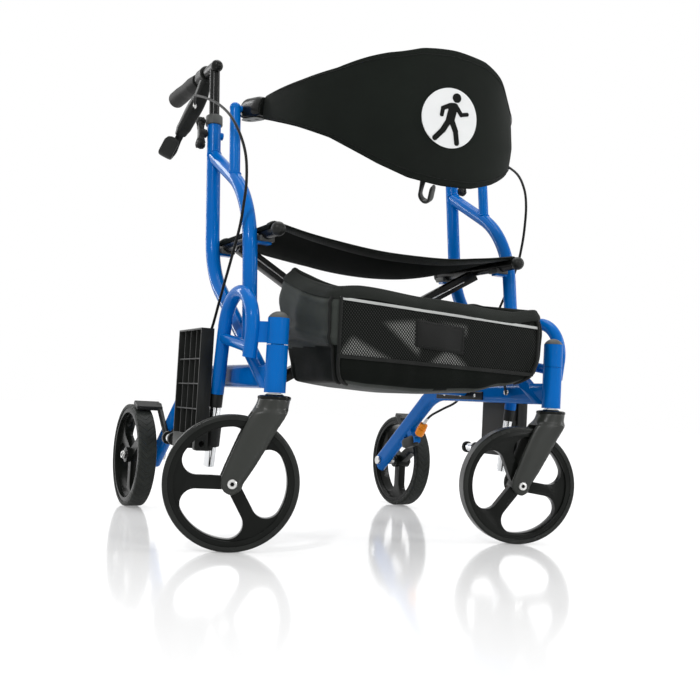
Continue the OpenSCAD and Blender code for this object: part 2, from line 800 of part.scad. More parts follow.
// Three-spoked wheel on the X axis, in the middle of its width
module wheel_hub(width, phase) {
    rim_out = wheel_r - rim_t * 0.5;
    rim_in = wheel_r - rim_t;
    rotate([90, 0, 90]) difference() {
        union() {
            difference() {
                translate([0, 0, -width / 2 + 1]) cylinder(h = width - 2, r = rim_out);
                translate([0, 0, -width / 2]) cylinder(h = width, r = rim_in);
            }
            translate([0, 0, -spoke_t / 2]) linear_extrude(spoke_t) difference() {
                circle(rim_in + 1);
                for (a = [30, 150, 270]) rotate(a + phase) spoke_window(rim_in - 2);
            }
            translate([0, 0, -width / 2]) cylinder(h = width, r = hub_r);
        }
        translate([0, 0, -width]) cylinder(h = 2 * width, r = axle_d / 2 + run_gap);
    }
}

// Tyre on the X axis, round at its shoulders
module wheel_tyre(width) {
    inner = wheel_r - rim_t * 0.5;
    rotate([0, 90, 0]) rotate_extrude() {
        translate([inner, -width / 2]) square([rim_t * 0.5 - shoulder, width]);
        translate([inner, -width / 2 + shoulder]) square([rim_t * 0.5, width - 2 * shoulder]);
        for (s = [-1, 1]) translate([wheel_r - shoulder, s * (width / 2 - shoulder)]) circle(shoulder);
    }
}

module at_rear(side) {
    translate([side * (frame_x + rear_out), axle_y, wheel_r]) children();
}

module rear_hub(side) {
    color("#222322") at_rear(side) wheel_hub(rear_w, rear_phase);
}

module rear_tyre(side) {
    color("#191a19") at_rear(side) wheel_tyre(rear_w);
}

// Bolt through the leg and the wheel, with a spacer between them
module rear_axle(side) {
    inner = frame_x + rear_out - rear_w / 2;
    outer = frame_x + rear_out + rear_w / 2;
    color("silver") on_side(side) {
        x_rod(frame_x - rail_w / 2 - 1, outer + 2, axle_y, wheel_r, axle_d / 2);
        x_rod(frame_x - rail_w / 2 - 6, frame_x - rail_w / 2 - 0.2, axle_y, wheel_r, nut_r);
        x_rod(frame_x + rail_w / 2 + 0.2, inner - 0.4, axle_y, wheel_r, nut_r);
        x_rod(outer + 0.4, outer + 5, axle_y, wheel_r, nut_r - 1);
    }
}

// Puts a caster's own frame, trail along +X, at its stem
module at_stem(side) {
    translate([side * frame_x, stem_y, 0]) rotate([0, 0, caster_turn]) children();
}

module at_caster(side) {
    at_stem(side) translate([trail, 0, wheel_r]) rotate([0, 0, 90]) children();
}

// Swivelling fork: stem, round crown and two tapered blades
module fork(side) {
    color("#2b2c2b") at_stem(side) difference() {
        union() {
            translate([0, 0, crown_z - 0.5]) cylinder(h = stem_top - crown_z + 0.5, r = stem_r);
            translate([0, 0, crown_z]) cylinder(h = 5, r = stem_r + 4);
            translate([0, 0, crown_low]) cylinder(h = crown_z - crown_low, r = blade_in + blade_t);
            for (s = [-1, 1]) translate([0, s * (blade_in + blade_t / 2) + blade_t / 2, 0])
                rotate([90, 0, 0]) linear_extrude(blade_t) blade();
        }
        translate([trail, 0, wheel_r]) rotate([90, 0, 0])
            cylinder(h = 4 * (blade_in + blade_t), r = axle_d / 2 + run_gap, center = true);
    }
}

// Side view of a blade, from the crown down to the axle's boss
module blade() {
    foot = [trail, wheel_r];
    way = atan2(crown_z - 24 - wheel_r, -trail);
    across = blade_boss * [-sin(way), cos(way)];
    translate(foot) circle(blade_boss);
    polygon([foot + across, foot - across,
        [20, crown_z - 16], [20, crown_z - 6], [-20, crown_z - 6], [-23, crown_z - 26]]);
}

module caster_hub(side) {
    color("#222322") at_caster(side)
        wheel_hub(caster_w, side < 0 ? right_phase : left_phase);
}

module caster_tyre(side) {
    color("#191a19") at_caster(side) wheel_tyre(caster_w);
}

module caster_axle(side) {
    reach = blade_in + blade_t;
    color("silver") at_caster(side) {
        x_rod(-reach - 1, reach + 1, 0, 0, axle_d / 2);
        for (s = [0, 180]) rotate([0, 0, s]) {
            x_rod(reach + 0.3, reach + 4, 0, 0, nut_r - 2);
            x_rod(caster_w / 2 + 0.3, blade_in - 0.3, 0, 0, nut_r - 2);
        }
    }
}

// Footrest hanger

// Local frame of the tilted U: origin on the rear leg's axis at the bend's height
module at_hanger() {
    translate([hanger_x, hanger_y, hanger_z]) rotate([hanger_lean, 0, 0]) children();
}

module hanger(side) {
    r = hanger_d / 2;
    bend = hanger_span / 2 - 0.2;
    color("royalblue") on_side(side) difference() {
        union() {
            at_hanger() {
                side_plane(0) bent([[0, -hanger_leg], [0, bend], [-hanger_span, bend],
                    [-hanger_span, -34]], bend) circle(r);
                y_rod(-hanger_span, 0, 0, cross_z, cross_r);
            }
            translate([frame_x, stem_y, collar_low]) cylinder(h = collar_h, d = housing_d);
            front = [hanger_x, hanger_y - hanger_span * cos(hanger_lean), collar_low + 4];
            gusset_way = atan2(front[1] + 6 - stem_y, front[0] - frame_x);
            translate([frame_x, stem_y, collar_low + 2]) rotate([0, 0, gusset_way])
                translate([0, -gusset_t / 2, 0])
                    cube([norm([front[0] - frame_x, front[1] + 6 - stem_y]), gusset_t, collar_h - 8]);
        }
        translate([frame_x, stem_y, collar_low - 1]) cylinder(h = collar_h + 20, r = spigot_r + run_gap);
        at_hanger() translate([0, 0, -hanger_leg - 40])
            cylinder(h = 40 + hanger_leg - 6, r = post_d / 2 + run_gap);
    }
}

// Grey dome on the hanger's collar
module hanger_cap(side) {
    color("#55524d") on_side(side) translate([frame_x, stem_y, collar_top + 0.2]) intersection() {
        translate([0, 0, -8]) sphere(r = 18);
        cylinder(h = 30, r = housing_d / 2 - 0.5);
    }
}

// Plastic sleeve at the end of the rear leg
module post_sleeve(side) {
    color("#1f2020") on_side(side) at_hanger() difference() {
        translate([0, 0, -hanger_leg - sleeve_l]) cylinder(h = sleeve_l - 0.2, r = hanger_d / 2 - 0.5);
        translate([0, 0, -hanger_leg - 60]) cylinder(h = 100, r = post_d / 2 + run_gap);
    }
}

module foot_post(side) {
    color("gainsboro") on_side(side) at_hanger()
        translate([0, 0, -post_low]) cylinder(h = post_low - hanger_leg + post_high, r = post_d / 2);
}

// Clamp on the foot post, with the pin that the footplate turns on
module post_clamp(side) {
    peg_end = plate_front + plate_l + peg_l;
    color("#1c1d1c") on_side(side) difference() {
        union() {
            at_hanger() translate([0, 0, (flip_z + clamp_up - hanger_z) / cos(hanger_lean)])
                cylinder(h = clamp_h, r = post_d / 2 + post_wall, center = true);
            block([hanger_x, at_post - clamp_half, flip_z - 12],
                  [flip_x + 5, at_post + clamp_half, flip_z + 12]);
            y_rod(at_post - 1, peg_end, flip_x, flip_z, flip_pin_r);
            y_rod(peg_end - 8, peg_end, flip_x, flip_z, 12);
        }
        at_hanger() translate([0, 0, -2 * post_low]) cylinder(h = 2 * post_low, r = post_d / 2 + run_gap);
    }
}

// Ribbed footplate, flipped up beside the post; its tread faces the post
module footplate(side) {
    low = flip_z - 9;
    high = flip_z + plate_h;
    near = flip_x - plate_t / 2 + 1;
    far = near + plate_t;
    rear = plate_front + plate_l;
    floor_z = low + plate_foot;
    color("#252625") on_side(side) difference() {
        union() {
            difference() {
                block([near, plate_front, low], [far, rear, high]);
                block([near + plate_wall, plate_front + plate_wall, floor_z],
                      [far + 1, rear - plate_wall, high - plate_wall]);
            }
            for (k = [1 : 3]) {
                rib_y = plate_front + k * plate_l / 4;
                rib_z = floor_z + k * (plate_h - plate_foot) / 4;
                block([near + 1, rib_y - rib_t / 2, floor_z - 4], [far - 2, rib_y + rib_t / 2, high - 1]);
                block([near + 1, plate_front + 1, rib_z - rib_t / 2], [far - 2, rear - 1, rib_z + rib_t / 2]);
            }
        }
        y_rod(plate_front - 5, rear + 5, flip_x, flip_z, flip_pin_r + run_gap);
        // Notch for the clamp, wide enough for the whole flip
        block([near - 1, at_post - clamp_half - 2, low - 1],
              [flip_x + notch_x, at_post + clamp_half + 2, flip_z + notch_z]);
    }
}

// Backrest

// Point of the band's middle line in plan, from 0 at the front to 1 at a hinge
function band_plan(u) = let (t = 90 * u)
    [band_x * pow(sin(t), 2 / band_power), -back_reach * pow(cos(t), 2 / band_power)];
function band_rise(u) = back_h / 2 * lookup(u, band_profile);
function band_share(k) = let (u = abs(k) / band_steps * band_u_end) pow(u, 0.85);

// One ring of the band at step k, an upright lens with round edges
function band_ring(k, grow) =
    let (u = band_share(k), s = k < 0 ? -1 : 1,
         here = band_plan(u),
         d = band_plan(min(1, u + 0.002)) - band_plan(max(0, u - 0.002)),
         out = [d[1], -d[0]] / norm(d),
         h = band_rise(u) + grow,
         t = back_t / 2 * (0.55 + 0.45 * (1 - u)) + grow)
    [for (a = [0 : 30 : 330])
        [s * (here[0] + out[0] * t * cos(a)), here[1] + out[1] * t * cos(a), h * sin(a)]];

module band(grow) {
    rings = [for (k = [-band_steps : band_steps]) band_ring(k, grow)];
    n = len(rings[0]);
    last = len(rings) - 1;
    pts = [for (r = rings) each r];
    faces = concat(
        [for (k = [0 : last - 1]) for (i = [0 : n - 1]) let (e = (i + 1) % n) each [
            [k * n + i, k * n + e, k * n + n + i], [k * n + e, k * n + n + e, k * n + n + i]]],
        [for (i = [1 : n - 2]) [0, i + 1, i]],
        [for (i = [1 : n - 2]) [last * n, last * n + i, last * n + i + 1]]);
    polyhedron(pts, faces, convexity = 8);
}

// Moves the band's own frame, hinge axis at the origin, into the chair
module at_hinge() {
    translate([0, hinge_y, hinge_z]) rotate([band_tilt, 0, 0]) children();
}

module backrest() {
    color("#1d1e1d") at_hinge() band(0);
}

// Round sign on the front of the band, following its curve
module backrest_disc() {
    color("white") at_hinge() intersection() {
        difference() {
            band(1.4);
            band(0.3);
        }
        y_rod(-back_reach - 2 * back_t, -back_reach + 1, 0, 0, disc_d / 2);
    }
}

// Plastic hinge block on the stub's pin, reaching to the band's end
module knuckle(side) {
    end = band_plan(band_share(band_steps));
    outer = frame_x - stub_d / 2 - 1.5;
    color("#262727") on_side(side) difference() {
        at_hinge() union() {
            x_rod(frame_x - hinge_pin_l + 1, outer, 0, 0, knuckle_r);
            translate([0, 0, -knuckle_r]) linear_extrude(2 * knuckle_r) polygon([
                [frame_x - hinge_pin_l + 1, 0], [outer, 0],
                [end[0] + knuckle_w / 2, end[1] + soft_gap], [end[0] - knuckle_w / 2, end[1] + soft_gap]]);
        }
        x_rod(frame_x - 60, frame_x + 20, hinge_y, hinge_z, hinge_pin_r + run_gap);
    }
}

frame(right);  // right_frame
frame(left);  // left_frame
saddles(right);  // right_saddles
saddles(left);  // left_saddles
brace(left, brace_a_y);  // brace_a
brace(right, brace_b_y);  // brace_b
brace_bolt();
rail_caps(right);  // right_rail_caps
rail_caps(left);  // left_rail_caps
seat_sling();
bag();
collar(right);  // right_collar
collar(left);  // left_collar
knob(right);  // right_knob
knob(left);  // left_knob
handle(right);  // right_handle
handle(left);  // left_handle
grip(right);  // right_grip
grip(left);  // left_grip
lever_housing(right);  // right_lever_housing
lever_housing(left);  // left_lever_housing
lever(right);  // right_lever
lever(left);  // left_lever
cable(right);  // right_cable
cable(left);  // left_cable
cable_adjuster(right);  // right_cable_adjuster
cable_adjuster(left);  // left_cable_adjuster
brake_shoe(right);  // right_brake_shoe
brake_shoe(left);  // left_brake_shoe
rear_hub(right);  // right_rear_hub
rear_hub(left);  // left_rear_hub
rear_tyre(right);  // right_rear_tyre
rear_tyre(left);  // left_rear_tyre
rear_axle(right);  // right_rear_axle
rear_axle(left);  // left_rear_axle
fork(right);  // right_fork
fork(left);  // left_fork
caster_hub(right);  // right_caster_hub
caster_hub(left);  // left_caster_hub
caster_tyre(right);  // right_caster_tyre
caster_tyre(left);  // left_caster_tyre
caster_axle(right);  // right_caster_axle
caster_axle(left);  // left_caster_axle
hanger(right);  // right_hanger
hanger(left);  // left_hanger
hanger_cap(right);  // right_hanger_cap
hanger_cap(left);  // left_hanger_cap
post_sleeve(right);  // right_post_sleeve
post_sleeve(left);  // left_post_sleeve
foot_post(right);  // right_foot_post
foot_post(left);  // left_foot_post
post_clamp(right);  // right_post_clamp
post_clamp(left);  // left_post_clamp
footplate(right);  // right_footplate
footplate(left);  // left_footplate
knuckle(right);  // right_knuckle
knuckle(left);  // left_knuckle
backrest();
backrest_disc();
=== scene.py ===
# %% [markdown]
# # A folding rollator that turns into a transport chair
# The chair comes packed as a set of named solids that already sit where they belong, so they are the
# fixed frame of this scene. Metal tubes stay as they are and only get a finish. Hard plastic pieces get
# rounded copies, and everything sewn is modelled anew, because cloth is what a solid shows worst.

import json
import math

import bpy
from mathutils import Matrix, Vector, noise

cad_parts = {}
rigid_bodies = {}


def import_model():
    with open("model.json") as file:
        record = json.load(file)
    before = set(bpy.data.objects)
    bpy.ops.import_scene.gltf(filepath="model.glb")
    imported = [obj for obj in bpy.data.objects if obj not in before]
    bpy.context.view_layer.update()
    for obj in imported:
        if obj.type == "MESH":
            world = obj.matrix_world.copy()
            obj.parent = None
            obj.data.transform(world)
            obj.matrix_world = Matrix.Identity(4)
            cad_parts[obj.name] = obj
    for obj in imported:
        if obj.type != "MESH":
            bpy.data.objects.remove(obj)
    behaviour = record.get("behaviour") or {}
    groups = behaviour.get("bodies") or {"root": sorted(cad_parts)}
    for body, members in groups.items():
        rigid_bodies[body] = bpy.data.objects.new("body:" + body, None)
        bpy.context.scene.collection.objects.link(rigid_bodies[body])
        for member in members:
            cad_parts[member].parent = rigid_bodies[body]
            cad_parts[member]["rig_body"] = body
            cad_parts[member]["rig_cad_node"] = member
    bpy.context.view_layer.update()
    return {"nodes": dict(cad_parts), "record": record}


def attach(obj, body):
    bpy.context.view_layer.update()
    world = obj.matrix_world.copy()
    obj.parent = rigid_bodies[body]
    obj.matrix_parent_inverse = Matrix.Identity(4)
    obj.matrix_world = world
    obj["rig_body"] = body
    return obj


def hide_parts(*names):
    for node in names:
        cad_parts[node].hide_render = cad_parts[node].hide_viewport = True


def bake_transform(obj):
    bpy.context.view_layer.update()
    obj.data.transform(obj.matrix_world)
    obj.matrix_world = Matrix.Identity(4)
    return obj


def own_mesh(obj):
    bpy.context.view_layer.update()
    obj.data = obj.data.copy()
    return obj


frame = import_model()
nodes = frame["nodes"]
slot_of = {part["node"]: part["material_slot"] for part in frame["record"]["subparts"]}
SIDES = {"right": -1, "left": 1}
print("loaded", len(nodes), "nodes")

# %% [markdown]
# ## Camera
# The photograph was taken low, from the front and the user's right, with a slight roll. A matrix built
# from the three directions of the camera says that more exactly than three typed angles would.

# %% Camera
YAW, PITCH, ROLL = (math.radians(a) for a in (27.9, 3.2, 3.05))
FOCUS_PX, PICTURE_PX = 943, 700
ahead = Vector((math.sin(YAW) * math.cos(PITCH), math.cos(YAW) * math.cos(PITCH), math.sin(PITCH)))
level = Vector((math.cos(YAW), -math.sin(YAW), 0))
above = level.cross(ahead)
across = math.cos(ROLL) * level + math.sin(ROLL) * above
upward = math.cos(ROLL) * above - math.sin(ROLL) * level
camera = bpy.data.objects.new("camera", bpy.data.cameras.new("camera"))
bpy.context.scene.collection.objects.link(camera)
camera.matrix_world = Matrix((
    (across.x, upward.x, -ahead.x, -0.834),
    (across.y, upward.y, -ahead.y, -1.598),
    (across.z, upward.z, -ahead.z, 0.229),
    (0, 0, 0, 1),
))
camera.data.sensor_width = 36
camera.data.lens = 36 * FOCUS_PX / PICTURE_PX
bpy.context.scene.camera = camera
print("lens", round(camera.data.lens, 2), "mm")

# %% [markdown]
# ## Working habits
# A few small helpers keep every later cell short. They select one piece, close and clean its mesh, join
# what belongs together, and give the piece to the body that carries it. Each finished piece keeps its
# place in its mesh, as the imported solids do.

# %% Helpers for selecting and finishing
mm = 0.001


def clamp(share):
    return max(0.0, min(1.0, share))


def ease(share):
    """Turns an even step from 0 to 1 into one that starts and stops gently."""
    return share * share * (3 - 2 * share)


def clear_selection():
    if bpy.context.object and bpy.context.object.mode != "OBJECT":
        bpy.ops.object.mode_set(mode="OBJECT")
    bpy.ops.object.select_all(action="DESELECT")


def hold(piece):
    clear_selection()
    piece.select_set(True)
    bpy.context.view_layer.objects.active = piece
    return piece


def tidy_mesh(piece, merge=1e-5, fill=False):
    hold(piece)
    bpy.ops.object.mode_set(mode="EDIT")
    bpy.ops.mesh.select_all(action="SELECT")
    bpy.ops.mesh.remove_doubles(threshold=merge)
    if fill:
        bpy.ops.mesh.fill_holes(sides=0)
    bpy.ops.mesh.select_all(action="SELECT")
    bpy.ops.mesh.normals_make_consistent(inside=False)
    bpy.ops.object.mode_set(mode="OBJECT")


def shape(piece, kind, **values):
    hold(piece)
    modifier = piece.modifiers.new(kind.lower(), kind)
    for key, value in values.items():
        setattr(modifier, key, value)
    bpy.ops.object.modifier_apply(modifier=modifier.name)


def bevel(piece, width, segments, sharp):
    """Rounds the edges that turn by more than sharp degrees."""
    shape(piece, "BEVEL", width=width, segments=segments, limit_method="ANGLE",
          angle_limit=math.radians(sharp))


def join(pieces):
    hold(pieces[0])
    for piece in pieces[1:]:
        piece.select_set(True)
    bpy.ops.object.join()
    return bpy.context.object


def body_of(node):
    return nodes[node]["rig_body"]


def settle(piece, name, body, look, angle=35):
    hold(piece)
    bpy.ops.object.transform_apply(location=True, rotation=True, scale=True)
    piece.name = name
    piece.data.name = name
    if look is not None:
        piece.data.materials.clear()
        piece.data.materials.append(look)
    bpy.ops.object.shade_smooth_by_angle(angle=math.radians(angle))
    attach(piece, body)
    return piece


print("helpers ready")

# %% [markdown]
# ## Shared effects
# No real surface is one flat colour. Three effects turn up in most of the finishes: a slow drift of
# colour and gloss, a fine grain, and a weave. Each is a node group, built once and set in every material
# with its own values. A group gives out only masks, values and normals.

# %% Helpers for node trees


def new_group(name, inputs, outputs):
    group = bpy.data.node_groups.new(name, "ShaderNodeTree")
    for label, value in inputs:
        socket = group.interface.new_socket(label, in_out="INPUT", socket_type="NodeSocketFloat")
        socket.default_value = value
    for label, kind in outputs:
        group.interface.new_socket(label, in_out="OUTPUT", socket_type="NodeSocket" + kind)
    enter = group.nodes.new("NodeGroupInput")
    leave = group.nodes.new("NodeGroupOutput")
    return group, enter, leave


def add_node(tree, kind, **settings):
    node = tree.nodes.new("ShaderNode" + kind)
    for key, value in settings.items():
        setattr(node, key, value)
    return node


def math_node(tree, operation, a, b=None):
    node = add_node(tree, "Math", operation=operation)
    for socket, value in zip(node.inputs, (a, b)):
        if value is None:
            continue
        if isinstance(value, (int, float)):
            socket.default_value = value
        else:
            tree.links.new(value, socket)
    return node.outputs[0]


def ramp(tree, value, low, high):
    """A smooth step of a value: 0 at low and 1 at high."""
    node = add_node(tree, "MapRange", interpolation_type="SMOOTHSTEP")
    node.inputs["From Min"].default_value = low
    node.inputs["From Max"].default_value = high
    tree.links.new(value, node.inputs["Value"])
    return node.outputs["Result"]


def thread_wave(tree, threads):
    """The height over one thread after the other: 0 between two threads and 1 on top of each."""
    turn = math_node(tree, "MULTIPLY", threads, math.pi)
    return math_node(tree, "ABSOLUTE", math_node(tree, "SINE", turn))


print("node helpers ready")

# %% [markdown]
# Drift is a slow noise, spread so that most of its range is used. Grain is a fine noise that only bends
# the normal. Both read Object coordinates, so they stay put on a piece that moves.

# %% Drift and grain
drift, enter, leave = new_group("drift", [("Scale", 12.0), ("Contrast", 1.0)], [("Value", "Float")])
place = add_node(drift, "TexCoord")
cloud = add_node(drift, "TexNoise")
cloud.inputs["Detail"].default_value = 4
drift.links.new(place.outputs["Object"], cloud.inputs["Vector"])
drift.links.new(enter.outputs["Scale"], cloud.inputs["Scale"])
spread = add_node(drift, "MapRange")
spread.inputs["From Min"].default_value = 0.3
spread.inputs["From Max"].default_value = 0.7
drift.links.new(cloud.outputs["Fac"], spread.inputs["Value"])
strength = math_node(drift, "MULTIPLY", spread.outputs["Result"], enter.outputs["Contrast"])
drift.links.new(strength, leave.inputs[0])

grain, enter, leave = new_group("grain", [("Scale", 900.0), ("Depth", 0.1)], [("Normal", "Vector")])
place = add_node(grain, "TexCoord")
speck = add_node(grain, "TexNoise")
speck.inputs["Detail"].default_value = 2
grain.links.new(place.outputs["Object"], speck.inputs["Vector"])
grain.links.new(enter.outputs["Scale"], speck.inputs["Scale"])
bump = add_node(grain, "Bump")
bump.inputs["Distance"].default_value = 0.0006
grain.links.new(enter.outputs["Depth"], bump.inputs["Strength"])
grain.links.new(speck.outputs["Fac"], bump.inputs["Height"])
grain.links.new(bump.outputs["Normal"], leave.inputs[0])
print("groups", [g.name for g in bpy.data.node_groups])

# %% [markdown]
# The weave counts threads both ways in the flat map of a piece. Where the sum of the two counts is odd
# one set of threads lies on top, and where it is even the other does, as in plain cloth.

# %% Weave
weave, enter, leave = new_group(
    "weave", [("Threads", 900.0), ("Depth", 0.3)], [("Normal", "Vector"), ("Shade", "Float")])
flat = add_node(weave, "UVMap")
parts = add_node(weave, "SeparateXYZ")
weave.links.new(flat.outputs["UV"], parts.inputs["Vector"])
across_threads = math_node(weave, "MULTIPLY", parts.outputs["X"], enter.outputs["Threads"])
along_threads = math_node(weave, "MULTIPLY", parts.outputs["Y"], enter.outputs["Threads"])
crossings = math_node(weave, "ADD", math_node(weave, "FLOOR", across_threads),
                      math_node(weave, "FLOOR", along_threads))
odd = math_node(weave, "PINGPONG", crossings, 1.0)
even = math_node(weave, "SUBTRACT", 1.0, odd)
over = math_node(weave, "MULTIPLY", thread_wave(weave, across_threads), odd)
under = math_node(weave, "MULTIPLY", thread_wave(weave, along_threads), even)
thread = math_node(weave, "ADD", over, under)
bump = add_node(weave, "Bump")
bump.inputs["Distance"].default_value = 0.0008
weave.links.new(enter.outputs["Depth"], bump.inputs["Strength"])
weave.links.new(thread, bump.inputs["Height"])
weave.links.new(bump.outputs["Normal"], leave.inputs["Normal"])
# The thread height is also given out as Shade, which darkens the cloth between threads: painted shade.
weave.links.new(thread, leave.inputs["Shade"])
print("groups", [g.name for g in bpy.data.node_groups])

# %% [markdown]
# ## Finishes
# Every finish is one Principled shader. The drift group moves its colour and roughness a little, and the
# grain group roughens its normal: coarse for moulded plastic, very fine for paint and powder coat. Sheen
# and specular level are the same all over, so they are set on the shader itself. Black plastic and cloth
# mirror little, so their specular level is low, or the white studio would turn them grey.

# %% Hard finishes


def finish(name, colour, rough, spec=0.5, metal=0.0, sheen=0.0, vary=0.25, scale=14.0,
           grit=(900.0, 0.05)):
    made = bpy.data.materials.new(name)
    made.use_nodes = True
    tree = made.node_tree
    shader = tree.nodes["Principled BSDF"]
    shader.inputs["Metallic"].default_value = metal
    shader.inputs["Specular IOR Level"].default_value = spec
    shader.inputs["Sheen Weight"].default_value = sheen
    shader.inputs["Sheen Roughness"].default_value = 0.4
    drifting = add_node(tree, "Group", node_tree=drift)
    drifting.inputs["Scale"].default_value = scale
    blend = add_node(tree, "Mix", data_type="RGBA")
    blend.inputs["A"].default_value = (*[c * (1 - vary) for c in colour], 1)
    blend.inputs["B"].default_value = (*[min(1, c * (1 + vary)) for c in colour], 1)
    tree.links.new(drifting.outputs["Value"], blend.inputs["Factor"])
    tree.links.new(blend.outputs["Result"], shader.inputs["Base Color"])
    gloss = add_node(tree, "MapRange")
    gloss.inputs["To Min"].default_value = rough[0]
    gloss.inputs["To Max"].default_value = rough[1]
    tree.links.new(drifting.outputs["Value"], gloss.inputs["Value"])
    tree.links.new(gloss.outputs["Result"], shader.inputs["Roughness"])
    grit_node = add_node(tree, "Group", node_tree=grain)
    grit_node.inputs["Scale"].default_value = grit[0]
    grit_node.inputs["Depth"].default_value = grit[1]
    tree.links.new(grit_node.outputs["Normal"], shader.inputs["Normal"])
    return made


HARD = {
    "blue_paint": ((0.0005, 0.129, 0.475), (0.09, 0.14), dict(spec=0.09, vary=0.05, grit=(420.0, 0.008))),
    "black_steel": ((0.008, 0.0085, 0.008), (0.20, 0.30), dict(spec=0.13, grit=(1500.0, 0.04))),
    "chrome": ((0.70, 0.71, 0.72), (0.05, 0.11), dict(metal=1.0, vary=0.06, grit=(600.0, 0.01))),
    "steel": ((0.56, 0.56, 0.55), (0.20, 0.34), dict(metal=1.0, vary=0.15, grit=(1200.0, 0.05))),
    "black_plastic": ((0.012, 0.013, 0.012), (0.34, 0.46), dict(spec=0.18, grit=(1400.0, 0.12))),
    "grey_plastic": ((0.075, 0.078, 0.074), (0.40, 0.52), dict(spec=0.25, vary=0.15, grit=(1300.0, 0.15))),
    "orange_plastic": ((1.0, 0.29, 0.015), (0.30, 0.42), dict(spec=0.15, vary=0.1, grit=(1200.0, 0.08))),
    "wheel_plastic": ((0.006, 0.007, 0.006), (0.18, 0.28), dict(spec=0.11, grit=(1500.0, 0.05))),
    "tyre": ((0.020, 0.0225, 0.020), (0.44, 0.58), dict(spec=0.14, vary=0.3, scale=40.0, grit=(800.0, 0.2))),
    "grip_rubber": ((0.009, 0.0095, 0.009), (0.46, 0.58), dict(spec=0.09, grit=(700.0, 0.22))),
    "cable_sheath": ((0.010, 0.0105, 0.010), (0.40, 0.50), dict(spec=0.10, grit=(900.0, 0.06))),
    "sign_white": ((0.78, 0.79, 0.79), (0.42, 0.52), dict(spec=0.3, vary=0.03, grit=(1600.0, 0.05))),
}
looks = {}
for name, (colour, rough, more) in HARD.items():
    looks[name] = finish(name, colour, rough, **more)
fork_grey = finish("fork_grey", (0.021, 0.023, 0.020), (0.28, 0.38), 0.30, vary=0.12, grit=(1300.0, 0.16))
plate_grey = finish("plate_grey", (0.16, 0.165, 0.155), (0.45, 0.58), 0.25, vary=0.1, grit=(1300.0, 0.12))
caster_gloss = finish(
    "caster_gloss", (0.010, 0.0115, 0.010), (0.24, 0.34), 0.22, scale=30.0, grit=(1200.0, 0.06))
# Flat discs in this near-black stand for sockets and holes: painted shade.
painted_hole_shade = finish("painted_hole_shade", (0.004, 0.004, 0.004), (0.7, 0.8), 0.05, vary=0.1)
print("hard finishes", len(looks) + 4)

# %% [markdown]
# Cloth reads its weave from the piece's own UV map, which is measured in metres, so a thread is as wide
# on the seat as on the bag. The weave also darkens the colour between the threads, which is painted shade.
# A trace of sheen lifts the edges, as the fluff of real yarn does.

# %% Cloth finishes


def cloth(name, colour, rough, threads, depth, sheen, spec=0.12):
    made = finish(name, colour, rough, spec, sheen=sheen, vary=0.3, scale=9.0)
    tree = made.node_tree
    shader = tree.nodes["Principled BSDF"]
    woven = add_node(tree, "Group", node_tree=weave)
    woven.inputs["Threads"].default_value = threads
    woven.inputs["Depth"].default_value = depth
    tree.links.new(woven.outputs["Normal"], shader.inputs["Normal"])
    base = shader.inputs["Base Color"].links[0].from_socket
    # Between the threads the colour is multiplied down to three quarters: painted shade.
    thread_shading = add_node(tree, "Mix", data_type="RGBA", blend_type="MULTIPLY")
    shade = add_node(tree, "MapRange")
    shade.inputs["To Min"].default_value = 0.75
    tree.links.new(woven.outputs["Shade"], shade.inputs["Value"])
    lift = add_node(tree, "CombineColor")
    for channel in lift.inputs:
        tree.links.new(shade.outputs["Result"], channel)
    thread_shading.inputs["Factor"].default_value = 1
    tree.links.new(base, thread_shading.inputs["A"])
    tree.links.new(lift.outputs[0], thread_shading.inputs["B"])
    tree.links.new(thread_shading.outputs["Result"], shader.inputs["Base Color"])
    return made


looks["sling_cloth"] = cloth(
    "sling_cloth", (0.0085, 0.0108, 0.0088), (0.72, 0.86), 1100.0, 0.35, 0.025, 0.08)
looks["bag_cloth"] = cloth(
    "bag_cloth", (0.0360, 0.0410, 0.0365), (0.50, 0.64), 1500.0, 0.25, 0.03)
bag_band = cloth("bag_band", (0.0050, 0.0063, 0.0052), (0.50, 0.64), 1500.0, 0.25, 0.008, 0.04)
# The seat's cloth is a darker copy of the backrest's black cloth: painted shade for its underside, which
# faces the floor.
seat_cloth = cloth("seat_cloth", (0.0045, 0.0060, 0.0048), (0.72, 0.86), 1100.0, 0.35, 0.004, 0.02)
webbing = cloth("webbing", (0.0200, 0.0225, 0.0200), (0.60, 0.74), 520.0, 0.45, 0.02, 0.08)
ribbon = cloth("ribbon", (0.0120, 0.0130, 0.0120), (0.52, 0.66), 700.0, 0.4, 0.03)
patch_satin = cloth("patch_satin", (0.0060, 0.0065, 0.0060), (0.38, 0.5), 1800.0, 0.2, 0.02)
silver_tape = finish(
    "silver_tape", (0.42, 0.43, 0.42), (0.34, 0.46), 0.4, metal=0.15, vary=0.1, grit=(1500.0, 0.2))
sign_black = finish("sign_black", (0.006, 0.0068, 0.006), (0.45, 0.55), 0.06, vary=0.1)
print("cloth finishes ready")

# %% [markdown]
# The front of the bag is a net. Holes sit on a slanted lattice, found with a Voronoi pattern that has no
# randomness. In a few wedges the holes are painted pale: a painted highlight where light glints through
# the net. Each wedge is the product of three soft half planes in the cloth's own flat map.

# %% Net of the bag's front
# Corners of the wedges of painted highlight in the net, in the cloth's flat map.
PAINTED_GLINTS = [
    ((0.144, 0.293), (0.176, 0.331), (0.262, 0.293)),
    ((0.226, 0.356), (0.306, 0.367), (0.296, 0.306)),
    ((0.310, 0.295), (0.352, 0.326), (0.400, 0.290)),
    ((0.326, 0.366), (0.386, 0.364), (0.386, 0.344)),
]


